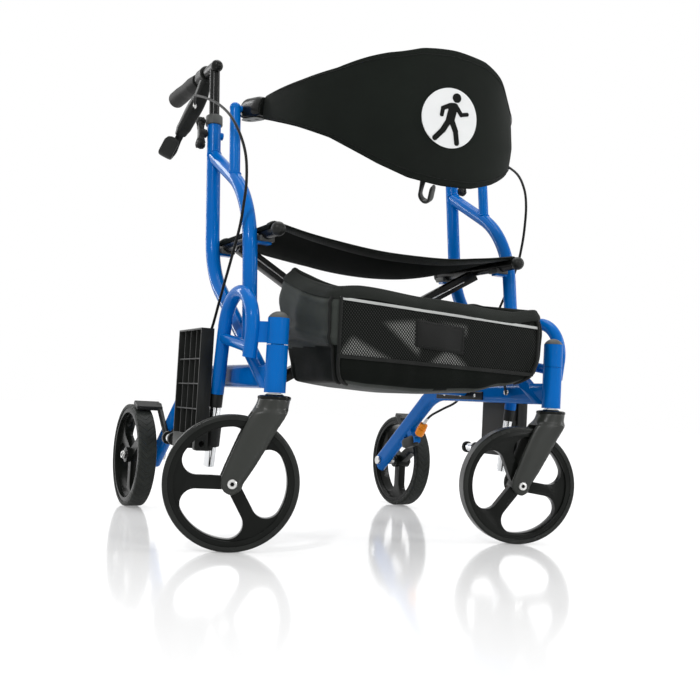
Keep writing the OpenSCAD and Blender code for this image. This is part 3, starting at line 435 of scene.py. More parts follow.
def wedge_mask(tree, x, z, corners):
    """A mask that is 1 inside a triangle and fades at its edges; the corners run clockwise."""
    mask = 1.0
    for (x0, z0), (x1, z1) in zip(corners, (*corners[1:], corners[0])):
        way = Vector((x1 - x0, z1 - z0)).normalized()
        inward = math_node(tree, "SUBTRACT",
                           math_node(tree, "MULTIPLY", math_node(tree, "SUBTRACT", x, x0), way.y),
                           math_node(tree, "MULTIPLY", math_node(tree, "SUBTRACT", z, z0), way.x))
        mask = math_node(tree, "MULTIPLY", ramp(tree, inward, -0.004, 0.009), mask)
    return mask


def net_finish():
    made = finish("bag_net", (0.0030, 0.0038, 0.0031), (0.5, 0.64), 0.025, sheen=0.004)
    tree = made.node_tree
    shader = tree.nodes["Principled BSDF"]
    flat = add_node(tree, "UVMap")
    turn = add_node(tree, "Mapping")
    turn.inputs["Rotation"].default_value = (0, 0, math.radians(38))
    turn.inputs["Scale"].default_value = (300, 240, 1)
    tree.links.new(flat.outputs["UV"], turn.inputs["Vector"])
    cells = add_node(tree, "TexVoronoi", voronoi_dimensions="2D", feature="F1")
    cells.inputs["Randomness"].default_value = 0
    cells.inputs["Scale"].default_value = 1
    tree.links.new(turn.outputs["Vector"], cells.inputs["Vector"])
    hole = ramp(tree, cells.outputs["Distance"], 0.42, 0.30)
    parts = add_node(tree, "SeparateXYZ")
    tree.links.new(flat.outputs["UV"], parts.inputs["Vector"])
    pale = 0.0
    for corners in PAINTED_GLINTS:
        wedge = wedge_mask(tree, parts.outputs["X"], parts.outputs["Y"], corners)
        pale = math_node(tree, "MAXIMUM", wedge, pale)
    # Holes are dark, and pale inside the wedges, which is a painted highlight of light glinting through the
    # net.
    inside = add_node(tree, "Mix", data_type="RGBA")
    inside.inputs["A"].default_value = (0.026, 0.0275, 0.026, 1)
    inside.inputs["B"].default_value = (0.22, 0.225, 0.215, 1)
    tree.links.new(pale, inside.inputs["Factor"])
    both = add_node(tree, "Mix", data_type="RGBA")
    tree.links.new(hole, both.inputs["Factor"])
    tree.links.new(shader.inputs["Base Color"].links[0].from_socket, both.inputs["A"])
    tree.links.new(inside.outputs["Result"], both.inputs["B"])
    tree.links.new(both.outputs["Result"], shader.inputs["Base Color"])
    bump = add_node(tree, "Bump", invert=True)
    bump.inputs["Strength"].default_value = 0.5
    bump.inputs["Distance"].default_value = 0.001
    tree.links.new(hole, bump.inputs["Height"])
    tree.links.new(bump.outputs["Normal"], shader.inputs["Normal"])
    return made


bag_net = net_finish()
print("net ready with", len(PAINTED_GLINTS), "pale wedges")

# %% [markdown]
# The rear tyres carry slanted tread marks. Their pattern runs on the angle round the wheel's centre, which
# is found from the Object coordinates, so the marks turn with the wheel.

# %% Tread of the rear tyres
AXLE_Y, WHEEL_R, REAR_X = 0.2905, 0.1015, 0.314


def tread_finish():
    made = looks["tyre"].copy()
    made.name = "rear_tread"
    tree = made.node_tree
    place = add_node(tree, "TexCoord")
    parts = add_node(tree, "SeparateXYZ")
    tree.links.new(place.outputs["Object"], parts.inputs["Vector"])
    y = math_node(tree, "SUBTRACT", parts.outputs["Y"], AXLE_Y)
    z = math_node(tree, "SUBTRACT", parts.outputs["Z"], WHEEL_R)
    outward = math_node(tree, "ABSOLUTE", parts.outputs["X"])
    side = math_node(tree, "ABSOLUTE", math_node(tree, "SUBTRACT", outward, REAR_X))
    turn = math_node(tree, "MULTIPLY", math_node(tree, "ARCTAN2", z, y), 46.0)
    wave = math_node(tree, "SINE", math_node(tree, "ADD", turn, math_node(tree, "MULTIPLY", side, 420.0)))
    radius = math_node(tree, "SQRT", math_node(tree, "ADD", math_node(tree, "MULTIPLY", y, y),
                                               math_node(tree, "MULTIPLY", z, z)))
    marks = math_node(tree, "MULTIPLY", ramp(tree, wave, 0.35, 0.75), ramp(tree, radius, 0.096, 0.0985))
    groove = add_node(tree, "Bump", invert=True)
    groove.inputs["Strength"].default_value = 1.0
    groove.inputs["Distance"].default_value = 0.002
    shader = tree.nodes["Principled BSDF"]
    tree.links.new(marks, groove.inputs["Height"])
    tree.links.new(shader.inputs["Normal"].links[0].from_socket, groove.inputs["Normal"])
    tree.links.new(groove.outputs["Normal"], shader.inputs["Normal"])
    return made


rear_tread = tread_finish()
print("tread ready")

# %% [markdown]
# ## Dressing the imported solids
# The tubes of the frame, the hangers, the posts and the tyres have the right shape already, so each gets
# the finish of its slot and nothing else.

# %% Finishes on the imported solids
for name, node in nodes.items():
    look = looks[slot_of[name]]
    if name.endswith("rear_tyre"):
        look = rear_tread
    elif name.endswith("caster_tyre"):
        look = caster_gloss
    for place in node.material_slots:
        place.material = look
print("dressed", len(nodes), "solids")

# %% [markdown]
# ## Rounded plastic and pressed metal
# A moulded edge is never sharp: it catches a line of light. Crisp pieces are copied and bevelled, after
# the flat faces of the copy have been joined, so that only real edges are rounded.

# %% Bevelled copies
BEVELS = {
    "footplate": 0.7, "collar": 1.4, "saddles": 1.2, "rear_hub": 1.4, "caster_hub": 1.4,
    "post_sleeve": 0.8, "foot_post": 1.0, "rear_axle": 0.8, "caster_axle": 0.8,
}


def copy_solid(node):
    hold(nodes[node])
    bpy.ops.object.duplicate()
    piece = bpy.context.object
    piece.parent = None
    body = piece["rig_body"]
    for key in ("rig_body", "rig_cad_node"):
        del piece[key]
    bpy.ops.object.mode_set(mode="EDIT")
    bpy.ops.mesh.select_all(action="SELECT")
    bpy.ops.mesh.remove_doubles(threshold=2e-6)
    bpy.ops.mesh.customdata_custom_splitnormals_clear()
    bpy.ops.object.mode_set(mode="OBJECT")
    return piece, body


def soften(node, width):
    piece, body = copy_solid(node)
    bpy.ops.object.mode_set(mode="EDIT")
    bpy.ops.mesh.dissolve_limited(angle_limit=math.radians(1))
    bpy.ops.object.mode_set(mode="OBJECT")
    bevel(piece, width * mm, 3, 32)
    settle(piece, node + "_round", body, looks[slot_of[node]])
    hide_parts(node)
    return piece


rounded = {}
for side in SIDES:
    for kind, width in BEVELS.items():
        rounded[f"{side}_{kind}"] = soften(f"{side}_{kind}", width)
for node, width in (("brace_a", 1.6), ("brace_b", 1.6), ("brace_bolt", 0.8)):
    rounded[node] = soften(node, width)
print("bevelled", len(rounded), "pieces,", sum(len(p.data.polygons) for p in rounded.values()), "faces")

# %% [markdown]
# Soft moulded pieces, such as the knob and the brake shoe, are copied, remeshed fine and smoothed, which
# rounds every edge and every inner corner at once.

# %% Moulded copies
MOULDS = {
    "knob": (1.0, 7), "post_clamp": (1.3, 6), "brake_shoe": (1.3, 6),
}


def mould(node, voxel, rounds, look):
    piece, body = copy_solid(node)
    shape(piece, "REMESH", mode="VOXEL", voxel_size=voxel * mm)
    shape(piece, "SMOOTH", factor=0.5, iterations=rounds)
    settle(piece, node + "_mould", body, look, angle=60)
    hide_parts(node)
    return piece


moulded = {}
for side in SIDES:
    for kind, (voxel, rounds) in MOULDS.items():
        moulded[f"{side}_{kind}"] = mould(f"{side}_{kind}", voxel, rounds, looks["black_plastic"])
print("moulded", len(moulded), "pieces,", sum(len(p.data.polygons) for p in moulded.values()), "faces")

# %% [markdown]
# The wings of the knob swell towards their ends, so that a finger finds them. Points that lie far from
# the knob's screw move outwards along their normals.

# %% Swollen wings of the knobs
SCREW_Y, SCREW_Z, WING_X, WING_SWELL = 0.0605, 0.712, 0.2865, 0.0044
for side in SIDES:
    knob = moulded[side + "_knob"].data
    for vertex in knob.vertices:
        far = math.hypot(vertex.co.y - SCREW_Y, vertex.co.z - SCREW_Z)
        if abs(vertex.co.x) > WING_X:
            vertex.co += vertex.normal * WING_SWELL * clamp((far - 0.008) / 0.012)
print("knobs done")

# %% [markdown]
# ## Shapes from rules
# Three small tools make most of what follows. A bent grid is a flat grid whose points go where a rule says.
# A lathe is a bent grid that turns a profile about an axis. A tube is a curve with a round section.

# %% Bent grids, lathes and tubes


def bent_grid(columns, rows, place, size):
    clear_selection()
    bpy.ops.mesh.primitive_grid_add(x_subdivisions=columns, y_subdivisions=rows, size=2)
    piece = bpy.context.object
    for corner in piece.data.uv_layers[0].data:
        corner.uv = (corner.uv[0] * size[0], corner.uv[1] * size[1])
    for vertex in piece.data.vertices:
        vertex.co = place(vertex.co.x / 2 + 0.5, vertex.co.y / 2 + 0.5)
    return piece


def lathe(profile, place, way, sides=40):
    """Turns a profile of (radius, height) pairs, in mm, about an axis through place along way."""
    turn = Vector(way).to_track_quat("Z", "Y").to_matrix()

    def point(u, v):
        radius, height = profile[round(v * (len(profile) - 1))]
        around = 2 * math.pi * u
        spot = Vector((radius * math.cos(around), radius * math.sin(around), height))
        return Vector(place) + turn @ spot * mm

    piece = bent_grid(sides, len(profile) - 1, point, (0.05, 0.05))
    tidy_mesh(piece)
    return piece


def tubes(lines, radius, sides=4, closed=False):
    clear_selection()
    curve = bpy.data.curves.new("line", "CURVE")
    curve.dimensions = "3D"
    curve.bevel_depth = radius
    curve.bevel_resolution = sides
    curve.use_fill_caps = True
    for points in lines:
        spline = curve.splines.new("POLY")
        spline.points.add(len(points) - 1)
        for spot, point in zip(spline.points, points):
            spot.co = (*point, 1)
        spline.use_cyclic_u = closed
    piece = bpy.data.objects.new("line", curve)
    bpy.context.scene.collection.objects.link(piece)
    hold(piece)
    bpy.ops.object.convert(target="MESH")
    return bpy.context.object


print("shape tools ready")

# %% [markdown]
# Three rules of number serve these tools: even steps, a wave with flattened tops, and a value that is read
# between the rows of a table.

# %% Steps, waves and tables


def steps(count):
    return [i / count for i in range(count + 1)]


def round_wave(turn, wave, power=0.55):
    """A sine or cosine with flattened tops, which makes a rounded square of a circle."""
    return math.copysign(abs(wave(turn)) ** power, wave(turn))


def between(x, table, eased=True):
    """The value at x in a table of (x, value) pairs, eased or straight from one pair to the next."""
    if x <= table[0][0]:
        return table[0][1]
    for (x0, y0), (x1, y1) in zip(table, table[1:]):
        if x <= x1:
            t = (x - x0) / (x1 - x0)
            return y0 + (y1 - y0) * (ease(t) if eased else t)
    return table[-1][1]


print("number rules ready")

# %% [markdown]
# ## Brake levers
# Each lever is a flat bar that leans and twists outwards and curls forward at its end into a rounded J with
# a square pad. It is a strip with a rounded section: it runs down along the lever, round the bend and
# back up. The strip gets wider and thicker towards the pad, and narrow again at its very end. Its
# housing is a channel that is open at the back, so that the lever can swing out of it, with a pin across
# and a clamp round the handlebar.

# %% Strips along the lever
FRAME_X = 0.266
LEVER_PIVOT = Vector((0, 0.148, 0.812))
LEVER_WAY = Vector((0, math.cos(math.radians(50)), -math.sin(math.radians(50))))
LEVER_BACK = Vector((0, math.sin(math.radians(50)), math.cos(math.radians(50))))
LEVER_LEAN = 0.22
LEVER_TWIST = [(0.080, 0.0), (0.124, math.radians(42))]
CURL_AT, CURL_R = 0.122, 0.0135
LEVER_HALF = [
    (-0.008, 0.002), (-0.004, 0.0062), (0.004, 0.0075), (0.1, 0.0075), (0.132, 0.011), (0.160, 0.0152),
    (0.186, 0.0152), (0.194, 0.012), (0.197, 0.005),
]
LEVER_THICK = [
    (-0.008, 0.0012), (-0.002, 0.0025), (0.11, 0.0027), (0.16, 0.0036), (0.19, 0.0036), (0.197, 0.0014),
]
HOUSING_HALF = [
    (-0.034, 0.006), (-0.030, 0.0098), (-0.022, 0.0115), (0.03, 0.0150), (0.075, 0.0138), (0.088, 0.0112),
    (0.091, 0.0100),
]
CHANNEL_WALL = 0.0020
HOUSING_THICK = [(-0.034, 0.005), (-0.030, 0.0088), (0.03, 0.0108), (0.075, 0.0088), (0.091, 0.0070)]


def lever_point(side):
    def place(u, v):
        run = -0.008 + 0.205 * u
        turn = max(0.0, min(math.pi, (run - CURL_AT) / CURL_R))
        thick = between(run, LEVER_THICK) * round_wave(2 * math.pi * v, math.sin)
        along = min(run, CURL_AT) + (CURL_R + thick) * math.sin(turn)
        along -= max(0.0, run - CURL_AT - math.pi * CURL_R)
        back = -CURL_R + (CURL_R + thick) * math.cos(turn)
        wide = between(run, LEVER_HALF) * round_wave(2 * math.pi * v, math.cos)
        c, s = math.cos(between(run, LEVER_TWIST)), math.sin(between(run, LEVER_TWIST))
        here = LEVER_PIVOT + LEVER_WAY * along + LEVER_BACK * (back * c + wide * s)
        x = FRAME_X + LEVER_LEAN * max(0.0, along) + wide * c - back * s
        return Vector((side * x, here.y, here.z))

    return place


def housing_spot(side, run, turn, wall):
    here = LEVER_PIVOT + LEVER_WAY * run
    here += LEVER_BACK * (between(run, HOUSING_THICK) - wall) * round_wave(turn, math.sin)
    wide = (between(run, HOUSING_HALF) - wall) * round_wave(turn, math.cos)
    return Vector((side * (FRAME_X + LEVER_LEAN * max(0.0, run) + wide), here.y, here.z))


def cap_point(side):
    return lambda u, v: housing_spot(side, -0.034 + 0.024 * u, 2 * math.pi * v, 0.0)


def channel_point(side):
    """Round the outside of the channel from lip to lip, and back round its inside."""
    def place(u, v):
        row = round(v * 32) % 32
        share = row / 15 if row < 16 else (31 - row) / 15
        wall = 0.0 if row < 16 else CHANNEL_WALL
        return housing_spot(side, -0.014 + 0.105 * u, math.radians(152 + 236 * share), wall)

    return place


print("lever rules ready")

# %% [markdown]
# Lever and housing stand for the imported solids, so they ride on the same bodies. The pin and the clamp are
# turned on the lathe.

# %% Levers, housings, pins and clamps
PIN = [(0, -10), (2.6, -10), (2.6, 10), (0, 10)]
CLAMP = [(11.3, -15), (14.0, -15), (15.4, -13.6), (15.4, 15.6), (14.0, 17), (11.3, 17), (11.3, -15)]
for name, side in SIDES.items():
    lever = bent_grid(110, 28, lever_point(side), (0.2, 0.05))
    tidy_mesh(lever, fill=True)
    settle(lever, name + "_lever_curl", body_of(name + "_lever"), looks["black_plastic"], 60)
    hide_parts(name + "_lever")
    cap = bent_grid(16, 32, cap_point(side), (0.03, 0.08))
    tidy_mesh(cap, fill=True)
    shell = bent_grid(60, 32, channel_point(side), (0.12, 0.08))
    tidy_mesh(shell, fill=True)
    shell = join([shell, cap])
    pin = lathe(PIN, LEVER_PIVOT + Vector((side * FRAME_X, 0, 0)), (1, 0, 0), 24)
    ring = lathe(CLAMP, (side * FRAME_X, 0.134, 0.846), (0, 1, 0), 48)
    body = body_of(name + "_lever_housing")
    settle(shell, name + "_lever_shell", body, looks["black_plastic"], 60)
    settle(ring, name + "_lever_clamp", body, looks["black_plastic"])
    settle(pin, name + "_lever_pin", body, looks["steel"])
    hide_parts(name + "_lever_housing")
print("levers", len(lever.data.polygons), "faces each")

# %% [markdown]
# ## Small hardware
# The eye believes a machine by its fasteners. Bright bolts sit on the wheel axles, each with a flat black
# disc for its socket, which is painted shade; a glossy ring and a bright stem show above each fork, and a
# plate with two holes closes each knuckle below.

# %% Axle bolts
BOLT = [(0, 0), (6.6, 0), (7.0, 0.6), (7.0, 2.4), (6.2, 3.2), (4.0, 3.4), (3.6, 3.0), (0, 3.0)]
SOCKET_SHADE = [(0, 0.2), (3.2, 0.2), (3.4, 0)]
CASTER_WAY = Vector((0.309, 0.951, 0))
for name, side in SIDES.items():
    spots = [("rear", Vector((side * 0.3362, AXLE_Y, WHEEL_R)), Vector((side, 0, 0)), name + "_rear_axle")]
    centre = Vector((-0.3202 if side < 0 else 0.2118, -0.2729, WHEEL_R))
    for end, way in (("outer", -CASTER_WAY), ("inner", CASTER_WAY)):
        spots.append(("caster_" + end, centre + way * 0.0288, way, name + "_caster_axle"))
    for kind, spot, way, node in spots:
        bolt = lathe(BOLT, spot, way)
        settle(bolt, f"{name}_{kind}_bolt", body_of(node), looks["steel"])
        # The socket is a flat black disc: painted shade of the recess.
        socket = lathe(SOCKET_SHADE, spot + way * 0.0030, way, sides=6)
        settle(socket, f"{name}_{kind}_socket", body_of(node), painted_hole_shade)
print("axle bolts done")

# %% [markdown]
# Each fork is lofted. Its edges are two tables over the height. Below the crown two blades go down beside
# the wheel to the axle, and the crown joins them above it. The parts are remeshed into one and smoothed.

# %% Lofted forks
TRAIL_WAY = Vector((-0.951, 0.309, 0))
STEM_Y = -0.2905
FORK_FRONT = [
    (84.5, 56.8), (86.5, 49), (90, 44.5), (95, 41.5), (101.5, 40), (110, 34.5), (127, 24), (157, 7.5),
    (185, -7), (199, -15.5), (211, -21.5), (221, -23), (229, -24.5),
]
FORK_REAR = [
    (84.5, 57.2), (86.5, 65), (90, 69.5), (95, 72.8), (101.5, 74.5), (110, 74), (127, 68), (157, 56.5),
    (185, 45), (199, 38.5), (211, 31.5), (221, 26.5), (229, 24.5),
]


def fork_spot(side, along, out, z):
    away = TRAIL_WAY * along + CASTER_WAY * out + Vector((0, 0, z))
    return Vector((side * FRAME_X, STEM_Y, 0)) + away * mm


def fork_span(z):
    front, rear = between(z, FORK_FRONT, False), between(z, FORK_REAR, False)
    return (front + rear) / 2, (rear - front) / 2


def blade_point(side, face):
    """A blade with a flat inner and a round outer side, which runs into the crown at its top."""
    def place(u, v):
        z = 84.5 + 138 * u
        middle, half = fork_span(z)
        turn = 2 * math.pi * v
        share = round_wave(turn, math.cos)
        ridge = math.sqrt(max(0.0, 1 - share * share))
        level = 0.5 + 0.5 * round_wave(turn, math.sin)
        out = 18.3 + (2.4 + 7.3 * ridge) * level
        into = ease(clamp((z - 206) / 13))
        out += (24.0 * ridge ** 0.85 * (0.4 + 0.6 * level) - out) * into
        return fork_spot(side, middle + half * share, face * out, z)

    return place


def crown_point(side):
    def place(u, v):
        z = 206.3 + 22.7 * u
        middle, half = fork_span(z)
        turn = 2 * math.pi * v
        power = 0.75 + 0.25 * u
        share = round_wave(turn, math.cos, power)
        out = round_wave(turn, math.sin, power)
        return fork_spot(side, middle + half * share, 25.6 * out, z)

    return place


for name, side in SIDES.items():
    parts = [bent_grid(24, 56, crown_point(side), (0.02, 0.15))]
    parts += [bent_grid(90, 40, blade_point(side, face), (0.14, 0.1)) for face in (-1, 1)]
    for part in parts:
        tidy_mesh(part, fill=True)
    fork = join(parts)
    shape(fork, "REMESH", mode="VOXEL", voxel_size=0.0014)
    shape(fork, "SMOOTH", factor=0.5, iterations=11)
    settle(fork, name + "_fork_loft", body_of(name + "_fork"), fork_grey, 60)
    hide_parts(name + "_fork")
print("forks", len(fork.data.polygons), "faces each")

# %% [markdown]
# A glossy ring caps each fork, and a bright stem rises from it. Both are turned about the axis on which the
# caster swivels.

# %% Fork crowns and stems
CROWN = [
    (12.4, 226.4), (23.8, 226.4), (25.2, 228.4), (25.4, 230.6), (25.0, 232.4), (22.0, 233.6), (14.5, 234.4),
    (13.2, 235.6), (12.4, 235.4),
]
STEM = [(12.2, 233.5), (12.2, 236.6), (11.6, 237.2), (9.6, 237.4), (9.6, 238.2)]
for name, side in SIDES.items():
    stem = (side * FRAME_X, STEM_Y, 0)
    body = body_of(name + "_fork")
    crown = lathe(CROWN, stem, (0, 0, 1), 56)
    settle(crown, name + "_crown_ring", body, looks["wheel_plastic"])
    bright = lathe(STEM, stem, (0, 0, 1), 40)
    settle(bright, name + "_stem_collar", body, looks["chrome"])
print("crowns done")

# %% [markdown]
# The orange barrel that sets the cable has a fluted head. Below it a black block covers the lug and the
# tab of the brake. A bright peg with a black cap carries each footplate's hinge on, and a black plate is
# riveted to the inner side of each lower rail.

# %% Rules for barrels, blocks and plates
BARREL = [
    (0, 0), (0, 6), (0.6, 8.6), (9, 9.2), (10, 8.2), (11.5, 8.2), (12.4, 9.8), (26, 9.8), (28.6, 9.0),
    (29.4, 0),
]
PEG = [(0, 0), (8.6, 0), (8.6, 27), (0, 27)]
PEG_CAP = [(0, 26), (10.4, 26), (11.6, 27.2), (11.6, 33), (10.4, 34.4), (6.4, 34.4), (6.0, 33.4), (0, 33.4)]
RIVET = [(0, 1.6), (1.8, 1.4), (3.0, 0.6), (3.3, -0.4)]
BARREL_TOP, BARREL_LOW = Vector((270, 127.0, 191.8)), Vector((268, 143.5, 167.8))
BLOCK_START, BLOCK_END = Vector((265.2, 146, 157.5)), Vector((265.2, 199, 143.0))


def barrel_point(side):
    way = (BARREL_LOW - BARREL_TOP).normalized()
    turn = way.to_track_quat("Z", "Y").to_matrix()

    def place(u, v):
        height, radius = BARREL[round(v * (len(BARREL) - 1))]
        around = 2 * math.pi * u
        radius *= 1 - (0.09 * max(0.0, math.cos(11 * around)) if height < 9.5 else 0.0)
        here = BARREL_TOP + turn @ Vector((radius * math.cos(around), radius * math.sin(around), height))
        return Vector((side * here.x, here.y, here.z)) * mm

    return place


def block_point(side):
    def place(u, v):
        here = BLOCK_START.lerp(BLOCK_END, u)
        swell = math.sqrt(max(0.0, 1 - abs(2 * u - 1) ** 5))
        turn = 2 * math.pi * v
        tall = (12.5 - 2.5 * u) * swell * round_wave(turn, math.sin)
        wide = 10.2 * swell * round_wave(turn, math.cos)
        return Vector((side * (here.x + wide), here.y + 0.26 * tall, here.z + tall)) * mm

    return place


def rail_plate_point(side):
    return lambda u, v: Vector((side * 0.2552, 0.061 - 0.162 * u, 0.248 + 0.016 * v))


print("hardware rules ready")

# %% [markdown]
# One loop makes the pieces of both sides. What moves with the footrest rides on its body, and the rest
# belongs to the frame's side.

# %% Adjusters, brake blocks, pegs and plates
for name, side in SIDES.items():
    barrel = bent_grid(110, len(BARREL) - 1, barrel_point(side), (0.06, 0.03))
    tidy_mesh(barrel)
    body = body_of(name + "_cable_adjuster")
    settle(barrel, name + "_barrel", body, looks["orange_plastic"], 40)
    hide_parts(name + "_cable_adjuster")
    block = bent_grid(40, 36, block_point(side), (0.06, 0.07))
    tidy_mesh(block, merge=1e-4, fill=True)
    settle(block, name + "_brake_block", name + "_side", looks["black_plastic"], 60)
    body = body_of(name + "_post_clamp")
    spot = (side * 0.323, 0.0090, 0.150)
    peg = lathe(PEG, spot, (0, 1, 0), 36)
    settle(peg, name + "_peg", body, looks["chrome"])
    cap = lathe(PEG_CAP, spot, (0, 1, 0), 40)
    settle(cap, name + "_peg_cap", body, looks["wheel_plastic"])
    plate = bent_grid(40, 6, rail_plate_point(side), (0.162, 0.016))
    shape(plate, "SOLIDIFY", thickness=0.0020, offset=0)
    bevel(plate, 0.0006, 2, 40)
    tidy_mesh(plate)
    settle(plate, name + "_rail_plate", name + "_side", looks["black_steel"])
    for label, y in (("front", -0.076), ("middle", -0.027), ("rear", 0.030)):
        rivet = lathe(RIVET, (side * 0.2541, y, 0.2565), (-side, 0, 0), 24)
        settle(rivet, f"{name}_{label}_rivet", name + "_side", looks["steel"])
print("small hardware done")

# %% [markdown]
# Where the stub and the front tube meet another tube, a bead of weld fills the corner. It is a closed tube
# along the line in which the two tubes meet.

# %% Weld beads on the frame
STUB_FOOT, STUB_WAY = Vector((0, -0.063, 0.608)), Vector((0, 0.138, 0.990)).normalized()
FRONT_TOP, FRONT_WAY = Vector((0, 0.0548, 0.672)), Vector((0, -0.8788, -0.4772)).normalized()
UPRIGHT_WAY = Vector((0, 0.139, 0.990)).normalized()


def weld(foot, way, radius, through, big, side):
    """The bead where a tube that leaves foot along way meets a thicker tube that runs along through."""
    out = Vector((0, -through.z, through.y))
    if out.dot(way) < 0:
        out.negate()
    across = Vector((0, -way.z, way.y))
    ring = []
    for t in steps(44)[:-1]:
        c, s = radius * math.cos(2 * math.pi * t), radius * math.sin(2 * math.pi * t)
        along = (math.sqrt(big * big - s * s) - c * across.dot(out)) / way.dot(out)
        ring.append(foot + way * along + across * c + Vector((side * FRAME_X + s, 0, 0)))
    return tubes([ring], 0.0022, closed=True)


for name, side in SIDES.items():
    for label, values in (("stub", (STUB_FOOT, STUB_WAY, 0.0097, FRONT_WAY, 0.0123)),
                          ("front", (FRONT_TOP, FRONT_WAY, 0.0124, UPRIGHT_WAY, 0.0127))):
        bead = weld(*values, side)
        settle(bead, f"{name}_{label}_weld", name + "_side", looks["blue_paint"], 60)
print("welds done")

# %% [markdown]
# The flat braces show a thin bright line along their lower front edge, which is made as a fine tube.

# %% Bright edges of the braces
SLOPE = math.radians(29.44)
BRACE_WAY = Vector((math.cos(SLOPE), 0, math.sin(SLOPE)))
BRACE_UP = Vector((-math.sin(SLOPE), 0, math.cos(SLOPE)))
for name, side, face in (("brace_a", 1, -0.0803), ("brace_b", -1, -0.0503)):
    edge = []
    for t in steps(24):
        spot = Vector((-0.170, face, 0.270)) + BRACE_WAY * (0.05 + 0.385 * t) - BRACE_UP * 0.0086
        edge.append(Vector((side * spot.x, spot.y, spot.z)))
    strip = tubes([edge], 0.0013)
    settle(strip, name + "_edge", name, looks["steel"], 60)
print("brace edges done")

# %% [markdown]
# ## Backrest
# The backrest is a padded band that runs forward from two hinges and round the front. It is a grid
# bent to the band's plan, closed to a flat tube, and then puffed by a cloth simulation, which
# gives the small dents that a rule alone doesn't have. Its near upper edge dips a little and its far upper
# edge falls inwards, as slack cloth does.

# %% Band of the backrest
BAND_X, BAND_REACH, BAND_HALF, BAND_THICK = 0.234, 0.280, 0.110, 0.0054
BAND_TILT = math.radians(7.5)
HINGE = Vector((0, -0.04501, 0.737))
BAND_PROFILE = [
    (0, 1), (0.12, 0.96), (0.26, 0.82), (0.42, 0.615), (0.5, 0.51), (0.68, 0.355), (0.82, 0.255), (1, 0.117),
]


def band_plan(u):
    turn = math.radians(90 * u)
    wide = max(0.0, math.sin(turn)) ** 0.8
    deep = max(0.0, math.cos(turn)) ** 0.8
    return Vector((BAND_X * wide, -BAND_REACH * deep, 0))


def band_height(u):
    return BAND_HALF * between(u, BAND_PROFILE, eased=False)


def at_hinge(point):
    return HINGE + Matrix.Rotation(BAND_TILT, 3, "X") @ point


def band_share(k):
    """How far along the half band, from its middle to its end, a point at k lies."""
    return (0.905 * abs(k)) ** 0.85


def band_point(k, out, rise):
    """A point of the band: k runs from -1 to 1 along it, and rise is a share of its half height."""
    u = band_share(k)
    side = -1 if k < 0 else 1
    here = band_plan(u)
    way = band_plan(min(1, u + 0.002)) - band_plan(max(0, u - 0.002))
    normal = Vector((way.y, -way.x, 0)).normalized()
    upper = clamp((rise + 0.2) / 0.9)
    if side > 0:
        out -= 0.011 * upper * math.exp(-((u - 0.42) / 0.18) ** 2)
    elif rise > 0:
        rise *= 1 - 0.05 * math.exp(-((u - 0.2) / 0.12) ** 2)
    there = here + normal * out
    return at_hinge(Vector((side * there.x, there.y, band_height(u) * rise)))


def band_surface(u, v):
    k = 2 * u - 1
    thick = BAND_THICK * (0.55 + 0.45 * (1 - band_share(k)))
    turn = 2 * math.pi * v
    return band_point(k, round_wave(turn, math.cos, 0.6) * thick, math.sin(turn))


backrest = bent_grid(150, 64, band_surface, (0.80, 0.46))
tidy_mesh(backrest, fill=True)
print("backrest band", len(backrest.data.vertices), "points")

# %% [markdown]
# Pressure from inside swells the padding. The sewn edge is pinned, so it stays clean, and a cap on how far
# a point may move keeps the pad near its solid.

# %% Puffing by cloth simulation


def edge_weight(point):
    """1 on the sewn edge and at the ends of the band, and 0 in the padding."""
    local = Matrix.Rotation(-BAND_TILT, 3, "X") @ (point - HINGE)
    u = math.degrees(math.asin(min(1.0, (abs(local.x) / BAND_X) ** 1.25))) / 90
    rise = abs(local.z) / band_height(u)
    return clamp(max((rise - 0.74) / 0.18, (u - 0.72) / 0.15))


def puff(piece, pressure, cap, frames):
    rest = [vertex.co.copy() for vertex in piece.data.vertices]
    pinned = piece.vertex_groups.new(name="sewn")
    for vertex in piece.data.vertices:
        pinned.add([vertex.index], edge_weight(vertex.co), "REPLACE")
    hold(piece)
    puffing = piece.modifiers.new("puff", "CLOTH")
    puffing.settings.use_pressure = True
    puffing.settings.uniform_pressure_force = pressure
    puffing.settings.effector_weights.gravity = 0
    puffing.settings.vertex_group_mass = "sewn"
    for step in range(1, frames + 1):
        bpy.context.scene.frame_set(step)
    bpy.ops.object.modifier_apply(modifier="puff")
    bpy.context.scene.frame_set(1)
    piece.vertex_groups.clear()
    for vertex, start in zip(piece.data.vertices, rest):
        move = vertex.co - start
        if move.length > cap:
            vertex.co = start + move * (cap / move.length)


puff(backrest, pressure=4.0, cap=0.004, frames=20)
shape(backrest, "SUBSURF", levels=1, render_levels=1)
settle(backrest, "backrest_pad", "backrest", looks["sling_cloth"], angle=60)
print("backrest pad", len(backrest.data.polygons), "faces")

# %% [markdown]
# The pad gets its flat map from its place: the run along the band and the height.

# %% Flat map of the pad


def map_flat(piece, flat):
    layer = piece.data.uv_layers[0] if piece.data.uv_layers else piece.data.uv_layers.new(name="UVMap")
    for loop in piece.data.loops:
        layer.data[loop.index].uv = flat(piece.data.vertices[loop.vertex_index].co)


map_flat(backrest, lambda p: (math.atan2(p.x, -p.y - 0.02) * 0.27, p.z))
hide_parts("backrest")
print("backrest mapped")

# %% [markdown]
# ## Sign and stitching on the backrest
# A white disc with a walking figure tells that the chair is for walking too. The figure is a plain one of
# our own: a round head, a body that leans forward, and four limbs. Each limb is a circle whose half is
# pulled out to a rounded bar. Rays from the front find the pad, and every point goes onto it. The stretched
# cloth makes the disc a little wider than it is tall.

# %% Helpers for the sign
DISC_R = 0.050


